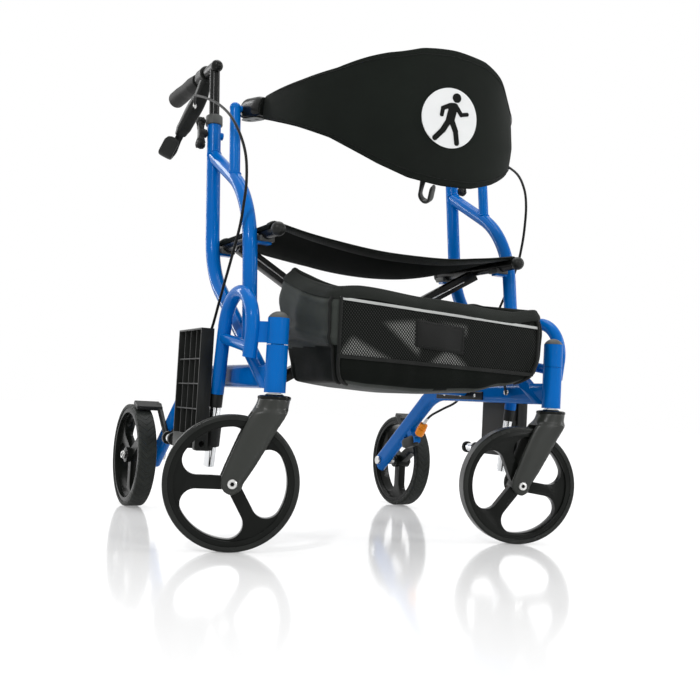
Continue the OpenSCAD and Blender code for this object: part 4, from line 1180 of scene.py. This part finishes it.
def onto_pad(point, lift):
    """Where a point in X and Z, seen from the front of the hinge's frame, lies on the pad."""
    start = at_hinge(Vector((point.x, -BAND_REACH - 0.05, point.z)))
    way = Matrix.Rotation(BAND_TILT, 3, "X") @ Vector((0, 1, 0))
    found, spot = backrest.ray_cast(start, way)[:2]
    return (spot if found else start + way * 0.05) - way * (lift - point.y)


def wrap_on_pad(piece, lift):
    for vertex in piece.data.vertices:
        x, y, z = vertex.co
        vertex.co = onto_pad(Vector((1.06 * x, y, 0.96 * z)), lift)


def flat_disc(radius, place, thick, corners=64):
    clear_selection()
    bpy.ops.mesh.primitive_circle_add(vertices=corners, radius=radius, fill_type="NGON",
                                      location=place, rotation=(math.pi / 2, 0, 0))
    piece = bpy.context.object
    bpy.ops.object.transform_apply(location=True, rotation=True)
    shape(piece, "SOLIDIFY", thickness=thick, offset=0)
    return piece


def limb(start, end, width, thick):
    """A rounded bar from start to end, in X and Z."""
    way = Vector((end[0] - start[0], 0, end[1] - start[1]))
    clear_selection()
    bpy.ops.mesh.primitive_circle_add(vertices=24, radius=width, fill_type="NGON")
    piece = bpy.context.object
    for vertex in piece.data.vertices:
        if vertex.co.x > 1e-6:
            vertex.co.x += way.length
    turn = Matrix.Rotation(-math.atan2(way.z, way.x), 4, "Y") @ Matrix.Rotation(math.pi / 2, 4, "X")
    piece.data.transform(Matrix.Translation((start[0], 0, start[1])) @ turn)
    shape(piece, "SOLIDIFY", thickness=thick, offset=0)
    return piece


print("sign helpers ready")

# %% [markdown]
# The disc is cut by a lattice of lines before it is laid on the pad, so that it has enough points to bend.

# %% White disc
disc = flat_disc(DISC_R, (0, 0, 0), 0.0014)
hold(disc)
bpy.ops.object.mode_set(mode="EDIT")
for step in range(-9, 10):
    for way in ((1, 0, 0), (0, 0, 1)):
        bpy.ops.mesh.select_all(action="SELECT")
        bpy.ops.mesh.bisect(plane_co=(step * 0.005, 0, step * 0.005), plane_no=way)
bpy.ops.object.mode_set(mode="OBJECT")
wrap_on_pad(disc, 0.0008)
settle(disc, "sign_disc", "backrest", looks["sign_white"])
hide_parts("backrest_disc")
print("disc of", len(disc.data.polygons), "faces")

# %% [markdown]
# The figure is joined from its bars first and laid on the pad as one piece, a little above the disc.

# %% Walking figure
BODY_THICK = 0.0008
figure = join([
    flat_disc(0.0078, (0.0068, 0, 0.0352), BODY_THICK, 32),
    limb((0.0044, 0.0190), (-0.0010, 0.0185), 0.0072, BODY_THICK),
    limb((0.0020, 0.0180), (-0.0010, -0.0030), 0.0078, BODY_THICK),
    limb((-0.0030, -0.0040), (-0.0120, -0.0220), 0.0050, BODY_THICK),
    limb((-0.0120, -0.0220), (-0.0240, -0.0370), 0.0046, BODY_THICK),
    limb((0.0020, -0.0040), (0.0110, -0.0200), 0.0050, BODY_THICK),
    limb((0.0110, -0.0200), (0.0160, -0.0390), 0.0046, BODY_THICK),
    limb((0.0080, 0.0200), (0.0180, 0.0090), 0.0038, BODY_THICK),
    limb((0.0180, 0.0090), (0.0290, 0.0120), 0.0034, BODY_THICK),
    limb((-0.0040, 0.0210), (-0.0160, 0.0140), 0.0038, BODY_THICK),
    limb((-0.0160, 0.0140), (-0.0170, 0.0030), 0.0034, BODY_THICK),
])
wrap_on_pad(figure, 0.0019)
settle(figure, "sign_figure", "backrest", sign_black)
print("figure of", len(figure.data.polygons), "faces")

# %% [markdown]
# Two rows of stitches follow the upper and the lower edge of the band.

# %% Stitches of the backrest
lines = []
for rise in (-0.9, 0.9):
    for i in range(-118, 118):
        ends = [band_point((i + step) * 0.0078, BAND_THICK * 0.62, rise) for step in (0.15, 0.85)]
        lines.append(ends)
seam = tubes(lines, 0.0006, sides=1)
settle(seam, "backrest_stitches", "backrest", ribbon)
for piece in (backrest, disc, figure, seam):
    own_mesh(piece)
print("backrest", len(lines), "stitches")

# %% [markdown]
# Each knuckle is a plump shell that runs from its hinge to the end of the band. Its top is domed and its
# underside flat, and a grey plate with two holes closes it there. The holes are flat black discs: painted
# shade.

# %% Knuckles and their plates


def knuckle_point(side):
    def place(u, v):
        nose = math.sqrt(max(0.0, 1 - (1 - min(1.0, u / 0.34)) ** 2))
        nose *= 1 - 0.16 * max(0.0, (u - 0.72) / 0.28) ** 2
        turn = 2 * math.pi * v
        across = 0.0135 * nose * round_wave(turn, math.cos, 0.8)
        above = 0.0205 * nose * math.sin(turn)
        below = 0.0168 * nose * round_wave(turn, math.sin, 0.45)
        rise = above if math.sin(turn) > 0 else below
        here = Vector((0.2445 - 0.0105 * u + across, 0.0205 - 0.0775 * u, rise))
        return at_hinge(Vector((side * here.x, here.y, here.z)))

    return place


def plate_point(side):
    def place(u, v):
        half = 0.0108 * max(0.02, 1 - abs(2 * v - 1) ** 4) ** 0.4
        x = 0.2430 - 0.0085 * v + half * (2 * u - 1)
        return at_hinge(Vector((side * x, 0.009 - 0.058 * v, -0.0174)))

    return place


for name, side in SIDES.items():
    body = body_of(name + "_knuckle")
    knuckle = bent_grid(40, 40, knuckle_point(side), (0.08, 0.12))
    tidy_mesh(knuckle, fill=True)
    settle(knuckle, name + "_knuckle_dome", body, looks["wheel_plastic"], 50)
    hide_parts(name + "_knuckle")
    plate = bent_grid(10, 28, plate_point(side), (0.02, 0.056))
    tidy_mesh(plate)
    shape(plate, "SOLIDIFY", thickness=0.0016, offset=0)
    tidy_mesh(plate)
    settle(plate, name + "_knuckle_plate", body, plate_grey)
    for label, share in (("front", 0.74), ("rear", 0.28)):
        spot = at_hinge(Vector((side * (0.2430 - 0.0085 * share), 0.009 - 0.058 * share, -0.0182)))
        hole = lathe([(0, 0.1), (3.4, 0.1), (3.9, 0)], spot, at_hinge(Vector((0, 0, -1))) - HINGE, 28)
        settle(hole, f"{name}_{label}_plate_hole_shade", body, painted_hole_shade)
print("knuckles done")

# %% [markdown]
# ## Seat sling
# The seat is one sheet of cloth that lies over both seat rails and sags between them. A grid follows the
# sheet from the outer side of one rail, over its top, through the sag and up to the other rail.

# %% Sling from rail to rail
RAIL_X, RAIL_Z, RAIL_R = 0.241, 0.502, 0.0105
SEAT_FRONT, SEAT_REAR = -0.200, 0.040
LIFT_OFF = math.radians(19)
WRAP_R = RAIL_R + 0.0014
EDGE_X = RAIL_X - WRAP_R * math.sin(LIFT_OFF)
EDGE_Z = RAIL_Z + WRAP_R * math.cos(LIFT_OFF)
WRAP_SHARE = 0.055


def sling_point(u, v):
    y = SEAT_FRONT + (SEAT_REAR - SEAT_FRONT) * v
    w = 2 * u - 1
    edge = 1 - 2 * WRAP_SHARE
    side = math.copysign(1, w)
    if abs(w) > edge:
        turn = -LIFT_OFF + (abs(w) - edge) / (1 - edge) * (math.radians(88) + LIFT_OFF)
        return Vector((side * (RAIL_X + WRAP_R * math.sin(turn)), y, RAIL_Z + WRAP_R * math.cos(turn)))
    x = w / edge
    sag = (0.0236 + 0.027 * math.sin(math.pi * v)) * (1 - x * x)
    crease = 0.0012 * noise.noise(Vector((x * 3.1, v * 2.3, 0.4))) * (1 - x * x)
    pull = 0.0010 * math.sin(14 * v + 2 * x) * max(0.0, abs(x) - 0.55) * (1 - abs(x)) * 6
    return Vector((EDGE_X * x, y, EDGE_Z - sag + crease + pull))


sling = bent_grid(96, 60, sling_point, (0.54, 0.24))
tidy_mesh(sling)
shape(sling, "SOLIDIFY", thickness=0.0022, offset=0)
tidy_mesh(sling)
settle(sling, "sling", "brace_b", seat_cloth, angle=60)

# %% [markdown]
# The hems at the front and the rear are doubled webbing. Each is a flat tube that follows the sling's own
# rule.

# %% Doubled hems of the sling
HEM = 0.022


def hem_point(front):
    def place(u, v):
        turn = 2 * math.pi * v
        along = HEM / 2 * round_wave(turn, math.cos, 0.5)
        high = 0.0036 * math.sin(turn)
        share = (HEM / 2 + along) / (SEAT_REAR - SEAT_FRONT)
        here = sling_point(0.012 + 0.976 * u, share if front else 1 - share)
        return here + Vector((0, 0, high))

    return place


hems = []
for name, front in (("front_hem", True), ("rear_hem", False)):
    hem = bent_grid(96, 20, hem_point(front), (0.54, 0.05))
    tidy_mesh(hem, fill=True)
    hems.append(settle(hem, name, "brace_b", webbing, angle=60))
for piece in [sling, *hems]:
    piece.parent = None
    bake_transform(piece)
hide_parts("seat_sling")

# %% [markdown]
# ## Bag
# The bag hangs in front of the braces. It is one lofted shell: a grid runs round the plan of the bag and
# from the middle of its floor outwards and up. Its floor rises at one end, its walls bulge, the lower band
# of its front ripples, and the end that faces the camera hangs over a fold above its tucked-in foot.

# %% Plan of the bag
BAG_X, BAG_FRONT, BAG_REAR, BAG_CORNER, BAG_ROUND, BAG_RISE = 0.198, -0.341, -0.157, 0.020, 0.022, 0.022
LOW_EDGE = [(-0.21, 0.262), (-0.12, 0.256), (-0.04, 0.2545), (0.07, 0.260), (0.13, 0.272), (0.21, 0.290)]
TOP_EDGE = [(-0.21, 0.399), (-0.15, 0.405), (-0.03, 0.398), (0.13, 0.391), (0.185, 0.399), (0.21, 0.396)]
FLOOR_SHARE = 0.28


def plan_legs(inset):
    """The straight sides and the corners round the bag's plan, from the middle of its rear wall."""
    r = max(BAG_CORNER - inset, 0.004)
    half, front, rear = BAG_X - inset, BAG_FRONT + inset, BAG_REAR - inset
    wide, deep = 2 * (half - r), (rear - front) - 2 * r
    arc = math.pi / 2 * r
    return r, [
        (wide / 2, Vector((0, rear, 0)), Vector((-1, 0, 0))),
        (arc, Vector((-half + r, rear - r, 0)), 90),
        (deep, Vector((-half, rear - r, 0)), Vector((0, -1, 0))),
        (arc, Vector((-half + r, front + r, 0)), 180),
        (wide, Vector((-half + r, front, 0)), Vector((1, 0, 0))),
        (arc, Vector((half - r, front + r, 0)), 270),
        (deep, Vector((half, front + r, 0)), Vector((0, 1, 0))),
        (arc, Vector((half - r, rear - r, 0)), 0),
        (wide / 2, Vector((half - r, rear, 0)), Vector((-1, 0, 0))),
    ]


def round_plan(share, inset):
    """A point at a share of the way round the bag's plan, and its outward way."""
    r, legs = plan_legs(inset)
    run = share * sum(leg[0] for leg in legs)
    for length, start, way in legs[:-1]:
        if run <= length:
            break
        run -= length
    else:
        length, start, way = legs[-1]
    if isinstance(way, Vector):
        return start + way * run, Vector((way.y, -way.x, 0))
    turn = math.radians(way) + run / r
    out = Vector((math.cos(turn), math.sin(turn), 0))
    return start + out * r, out


print("plan of", round(sum(leg[0] for leg in plan_legs(0)[1]), 3), "m round")

# %% [markdown]
# The wall's cloth isn't flat: noise makes it uneven, its middle bulges and the near end hangs over its
# fold. The floor follows the same rule near its edge, so that floor and wall meet without a step.

# %% Walls and floor of the bag


def bag_low(x):
    return between(x, LOW_EDGE)


def bag_top(x, y):
    """The height of the rim, which rises to the rear and is pulled up at its near rear corner."""
    rear = max(0.0, (y - BAG_FRONT) / (BAG_REAR - BAG_FRONT))
    near = clamp((-x - 0.10) / 0.09)
    return between(x, TOP_EDGE) + BAG_RISE * rear + 0.026 * (near * rear) ** 2


def bag_wall(here, out, z):
    """A point of the wall's cloth, which bulges, hangs slack at the near end and ripples below."""
    low = bag_low(here.x) + BAG_ROUND
    climb = clamp((z - low) / (bag_top(here.x, here.y) - low))
    belly = math.sin(math.pi * climb)
    end = out.x * out.x
    rear = (here.y - BAG_FRONT) / (BAG_REAR - BAG_FRONT)
    move = 0.005 * belly + 0.004 * end * belly - 0.003
    move += 0.0022 * noise.noise(Vector((here.x * 14, here.y * 14, z * 18 + 3)))
    move += 0.0034 * (1 - climb) ** 2 * noise.noise(Vector((here.x * 32, here.y * 20, z * 14)))
    if out.x < 0:
        wave = noise.noise(Vector((here.y * 26, z * 11, 1.7)))
        fold = 0.30 + 0.06 * rear + 0.03 * wave
        tuck = ease(clamp((fold - climb) / 0.07))
        move += end * belly * (0.008 * rear + 0.007 * wave)
        move += end * 0.005 * math.exp(-((climb - 0.80 - 0.1 * rear) / 0.06) ** 2)
        move += end * 0.012 * rear * math.exp(-((climb - 0.72) / 0.2) ** 2)
        move += end * (0.004 * math.exp(-((climb - fold - 0.07) / 0.05) ** 2) - 0.011 * tuck)
    return Vector((here.x, here.y, z)) + out * move


def bag_point(u, v):
    """A point of the wall or, below it, of the floor, whose last ring closes on the middle line."""
    if v >= FLOOR_SHARE:
        here, out = round_plan(u, 0.0)
        low = bag_low(here.x) + BAG_ROUND
        climb = (v - FLOOR_SHARE) / (1 - FLOOR_SHARE)
        return bag_wall(here, out, low + (bag_top(here.x, here.y) - low) * climb)
    inset = (1 - v / FLOOR_SHARE) * 0.088
    here, out = round_plan(u, inset)
    if v < 1e-6:
        here.y = (BAG_FRONT + BAG_REAR) / 2
    edge = max(0.0, 1 - inset / BAG_ROUND)
    lift = BAG_ROUND * (1 - math.sqrt(max(0.0, 1 - edge * edge)))
    sag = 0.006 * min(1.0, inset / 0.044) * (1 - (here.x / BAG_X) ** 2)
    wall = Vector((here.x, here.y, bag_low(here.x) + BAG_ROUND))
    move = (bag_wall(here, out, wall.z) - wall) * edge
    return Vector((here.x, here.y, bag_low(here.x) + lift - sag)) + move


print("rim at", round(bag_top(0, BAG_FRONT), 3), "m, floor at", round(bag_low(0), 3), "m")

# %% [markdown]
# The shell's faces between the tape and the lower band of the front get the net, the band itself and the
# foot of the near end a darker cloth, and all others the plain cloth. Its flat map runs round the
# corners, so the weave doesn't break there.

# %% Shell of the bag


def tape_height(x):
    return 0.3785 - 0.0375 * x


def net_low(x):
    return 0.2955 - 0.016 * x


bag = bent_grid(240, 72, bag_point, (1.16, 0.23))
tidy_mesh(bag, merge=1e-4)
shape(bag, "SOLIDIFY", thickness=0.0022, offset=-1)
map_flat(bag, lambda p: (p.x - p.y, p.z))
bag.data.materials.clear()
for look in (looks["bag_cloth"], bag_net, bag_band):
    bag.data.materials.append(look)
for face in bag.data.polygons:
    c = face.center
    on_front = c.y < BAG_FRONT + 0.012 and abs(c.x) < BAG_X - 0.012
    on_net = on_front and net_low(c.x) < c.z < tape_height(c.x)
    on_foot = c.x < -0.165 and c.z < bag_low(c.x) + BAG_ROUND + 0.031
    face.material_index = 1 if on_net else 2 if on_front or on_foot else 0
settle(bag, "bag_shell", "right_side", None, angle=60)
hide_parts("bag")
print("bag", len(bag.data.polygons), "faces")

# %% [markdown]
# ## Trim of the bag
# A silver tape crosses the front above the net, a seam closes the net below, and a plain patch is sewn
# on it. Two ridges of binding run up each front corner. All of them follow the rule of the bag's wall, so
# they lie on its bulges and ripples.

# %% Rules for the front of the bag
PATCH_SIZE = (0.092, 0.043)


def front_point(x, z, out):
    here = bag_wall(Vector((x, BAG_FRONT, 0)), Vector((0, -1, 0)), z)
    return here - Vector((0, out, 0))


def front_strip(x0, x1, height, wide, lift):
    def place(u, v):
        x = x0 + (x1 - x0) * u
        return front_point(x, height(x) + wide * (v - 0.5), lift)

    strip = bent_grid(90, 2, place, (x1 - x0, wide))
    tidy_mesh(strip)
    shape(strip, "SOLIDIFY", thickness=0.0012, offset=0)
    return strip


def on_patch(u, v, lift):
    along = PATCH_SIZE[0] * (u - 0.5)
    return front_point(-0.009 + along, 0.3405 + PATCH_SIZE[1] * (v - 0.5) - 0.07 * along, lift)


def patch_point(u, v):
    return on_patch(u, v, 0.0014 + 0.0008 * min(1.0, 12 * min(u, 1 - u, v, 1 - v)))


def corner_line(share):
    line = []
    for t in steps(48):
        v = 0.20 + 0.80 * t
        slack = 0.0012 * math.sin(11 * t) + 0.0018
        line.append(bag_point(share, v) + round_plan(share, 0.0)[1] * slack)
    return line


print("trim rules ready")

# %% [markdown]
# Every piece of trim is sewn to the bag, so one helper gives it the bag's body.

# %% Tape, seam, patch and bindings


def sew(piece, name, look, angle=35):
    trim.append(settle(piece, name, "right_side", look, angle))


trim = []
sew(front_strip(-0.189, 0.188, tape_height, 0.0042, 0.0012), "bag_tape", silver_tape)
sew(front_strip(-0.189, 0.184, net_low, 0.0060, 0.0012), "bag_seam", ribbon)
patch = bent_grid(24, 14, patch_point, PATCH_SIZE)
tidy_mesh(patch)
shape(patch, "SOLIDIFY", thickness=0.0012, offset=1)
sew(patch, "bag_patch", patch_satin)
legs = plan_legs(0)[1]
whole = sum(leg[0] for leg in legs)
for name, leg in (("right", 3), ("left", 5)):
    start = sum(item[0] for item in legs[:leg])
    ridges = [corner_line((start + share * legs[leg][0]) / whole) for share in (0.30, 0.72)]
    sew(tubes(ridges, 0.0027), name + "_binding", ribbon, 60)
stitch = []
corners = [(0.035, 0.07), (0.965, 0.07), (0.965, 0.93), (0.035, 0.93)]
for (u0, v0), (u1, v1), count in zip(corners, corners[1:] + corners[:1], (24, 10, 24, 10)):
    for i in range(count):
        shares = [(i + part) / count for part in (0.18, 0.82)]
        stitch.append([on_patch(u0 + (u1 - u0) * t, v0 + (v1 - v0) * t, 0.0034) for t in shares])
sew(tubes(stitch, 0.0005, sides=1), "patch_stitches", ribbon)
print("trim", [piece.name for piece in trim], len(stitch), "stitches")

# %% [markdown]
# The rim is a folded hem: it runs up the outside of the wall, over its edge and down the inside.

# %% Rim of the bag
RIM_DROP = 0.016


def rim_point(u, v):
    here, out = round_plan(u, 0.0)
    top = bag_top(here.x, here.y)
    if v < 0.4:
        t = v / 0.4
        swell = 0.0016 + 0.0030 * math.sin(math.pi * t)
        swell += 0.0012 * noise.noise(Vector((here.x * 30, here.y * 30, t)))
        return bag_wall(here, out, top - RIM_DROP * (1 - t)) + out * swell
    if v > 0.6:
        return bag_wall(here, out, top - RIM_DROP * (v - 0.6) / 0.4) - out * 0.0044
    sweep = math.pi * (v - 0.4) / 0.2
    over = out * (0.0030 * math.cos(sweep) - 0.0014) + Vector((0, 0, 0.003 * math.sin(sweep)))
    return bag_wall(here, out, top) + over


rim = bent_grid(240, 20, rim_point, (1.16, 0.04))
tidy_mesh(rim)
shape(rim, "SOLIDIFY", thickness=0.0012, offset=0)
sew(rim, "bag_rim", webbing, 60)
print("rim of", len(rim.data.polygons), "faces")

# %% [markdown]
# A tab with a snap holds the far end to the frame.

# %% Tab and snap


def strap(start, end, wide, narrow, droop):
    """A flat strap from start to end, wide at its start, that droops a little between them."""
    start, end = Vector(start), Vector(end)
    way = (end - start).normalized()
    wideways = (Vector((0, 0, 1)) - way * way.z).normalized()

    def place(u, v):
        width = wide + (narrow - wide) * u
        here = start.lerp(end, u) + wideways * width * (v - 0.5)
        return here - Vector((0, 0, droop * math.sin(math.pi * u)))

    piece = bent_grid(20, 6, place, ((end - start).length, wide))
    tidy_mesh(piece)
    shape(piece, "SOLIDIFY", thickness=0.0018, offset=0)
    bevel(piece, 0.0005, 2, 40)
    return piece


tab = strap((0.194, -0.245, 0.300), (0.252, -0.178, 0.264), 0.030, 0.013, 0.004)
sew(tab, "snap_tab", webbing, 50)
SNAP = [(0, 2.6), (2.0, 2.5), (4.0, 1.7), (5.2, 0.3), (5.2, -0.4)]
sew(lathe(SNAP, (0.2515, -0.179, 0.264), (-0.9, -0.43, 0), 32), "tab_snap", looks["steel"])
for piece in [bag, *trim]:
    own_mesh(piece)
print("bag done with", len(trim), "pieces of trim")

# %% [markdown]
# ## Brake cables
# Each cable is held at both ends and has to bend freely between them, so its route is a smooth curve
# through the points that the solid follows. A bright ferrule ends it at the lever and at the adjuster.
# The ferrule at the lever rides with the handle, and the one at the adjuster with the frame's side.

# %% Cables
CABLE_ROUTE = [
    (277.8, 150, 788), (292, 108, 792), (301.2, 74.3, 784), (301.2, 10.3, 762), (301.2, -60, 732),
    (300, -118, 698), (294, -152, 660), (288, -168, 622), (285, -170, 580), (285, -164, 545),
    (285, -152, 508), (285, -124, 462), (285, -84, 402), (286, -58, 356), (288, -42, 326),
    (286, -14, 280), (284, 27.8, 244), (280, 73.8, 226), (274, 109.8, 210), (270, 127.5, 192.5),
]
FERRULE = [(0, 0), (3.2, 0), (3.6, 0.5), (3.6, 9), (3.0, 10), (3.0, 15), (2.5, 16)]


def smooth_route(points, per_leg):
    line = []
    for i in range(len(points) - 1):
        a, b, c, d = (points[max(0, min(len(points) - 1, i + k))] for k in (-1, 0, 1, 2))
        for k in range(per_leg):
            t = k / per_leg
            line.append(0.5 * (2 * b + (c - a) * t + (2 * a - 5 * b + 4 * c - d) * t * t
                               + (3 * b - a - 3 * c + d) * t ** 3))
    return line + [points[-1]]


for name, side in SIDES.items():
    route = smooth_route([Vector((side * x, y, z)) * mm for x, y, z in CABLE_ROUTE], per_leg=8)
    cable = tubes([route], 0.0024)
    settle(cable, name + "_cable_line", name + "_side", looks["cable_sheath"])
    cable.parent = None
    handle = body_of(name + "_lever_housing")
    tuple(route[0])
    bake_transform(cable)
    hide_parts(name + "_cable")
    ends = (("lever", route[0], route[2], 0.005, handle), ("low", route[-1], route[-3], 0, name + "_side"))
    for label, start, toward, back, body in ends:
        way = (toward - start).normalized()
        ferrule = lathe(FERRULE, start - way * back, way, 24)
        settle(ferrule, f"{name}_{label}_ferrule", body, looks["steel"])
    length = sum((b - a).length for a, b in zip(route, route[1:]))
    print(name, "cable", round(length, 3), "m")

# %% [markdown]
# ## Studio
# The photograph has a white ground with faint reflections under the wheels. The floor is pale and a
# little glossy, and the white seen by the camera comes from the floor's and the world's own colour, not
# from more light on the chair.

# %% Floor
clear_selection()
bpy.ops.mesh.primitive_plane_add(size=24, location=(0, 0, -0.0006))
floor = bpy.context.object
floor.name = "floor"
pale = bpy.data.materials.new("pale_floor")
pale.use_nodes = True
tree = pale.node_tree
shader = tree.nodes["Principled BSDF"]
shader.inputs["Base Color"].default_value = (0.80, 0.80, 0.80, 1)
shader.inputs["Roughness"].default_value = 0.10
shader.inputs["Specular IOR Level"].default_value = 0.5
glow = add_node(tree, "Emission")
seen = add_node(tree, "LightPath")
lit = math_node(tree, "MAXIMUM", seen.outputs["Is Camera Ray"], seen.outputs["Is Glossy Ray"])
tree.links.new(math_node(tree, "MULTIPLY", lit, 0.24), glow.inputs["Strength"])
both = add_node(tree, "AddShader")
tree.links.new(shader.outputs[0], both.inputs[0])
tree.links.new(glow.outputs[0], both.inputs[1])
tree.links.new(both.outputs[0], tree.nodes["Material Output"].inputs["Surface"])
floor.data.materials.append(pale)
print("floor ready")

# %% [markdown]
# Narrow lamps give the thin bright lines on the tubes. The world lights the chair at half strength, while
# the camera and mirrors see it at full strength, which is white.

# %% Lamps and world
AIM = Vector((0, 0, 0.4))


def lamp(name, place, size, power):
    light = bpy.data.lights.new(name, "AREA")
    light.shape = "RECTANGLE"
    light.size, light.size_y = size
    light.energy = power
    holder = bpy.data.objects.new(name, light)
    bpy.context.scene.collection.objects.link(holder)
    holder.location = place
    holder.rotation_euler = (AIM - Vector(place)).to_track_quat("-Z", "Y").to_euler()


lamp("key", (-2.4, -2.2, 2.6), (0.20, 0.7), 46)
lamp("strip", (0.5, -3.2, 1.5), (0.16, 2.0), 20)
lamp("side", (2.8, -1.2, 1.6), (0.25, 2.0), 26)
lamp("top", (0.2, 0.6, 3.2), (2.0, 2.0), 42)
lamp("rear", (-1.6, 2.6, 1.6), (0.3, 2.0), 22)

world = bpy.data.worlds.new("studio")
bpy.context.scene.world = world
world.use_nodes = True
tree = world.node_tree
sky = tree.nodes["Background"]
seen = add_node(tree, "LightPath")
mirrored = math_node(tree, "MAXIMUM", seen.outputs["Is Glossy Ray"], seen.outputs["Is Transmission Ray"])
bright = math_node(tree, "MAXIMUM", seen.outputs["Is Camera Ray"], mirrored)
strength = math_node(tree, "ADD", math_node(tree, "MULTIPLY", bright, 0.5), 0.5)
tree.links.new(strength, sky.inputs["Strength"])
sky.inputs["Color"].default_value = (1, 1, 1, 1)
bpy.context.scene.view_settings.view_transform = "Standard"
print("studio ready")
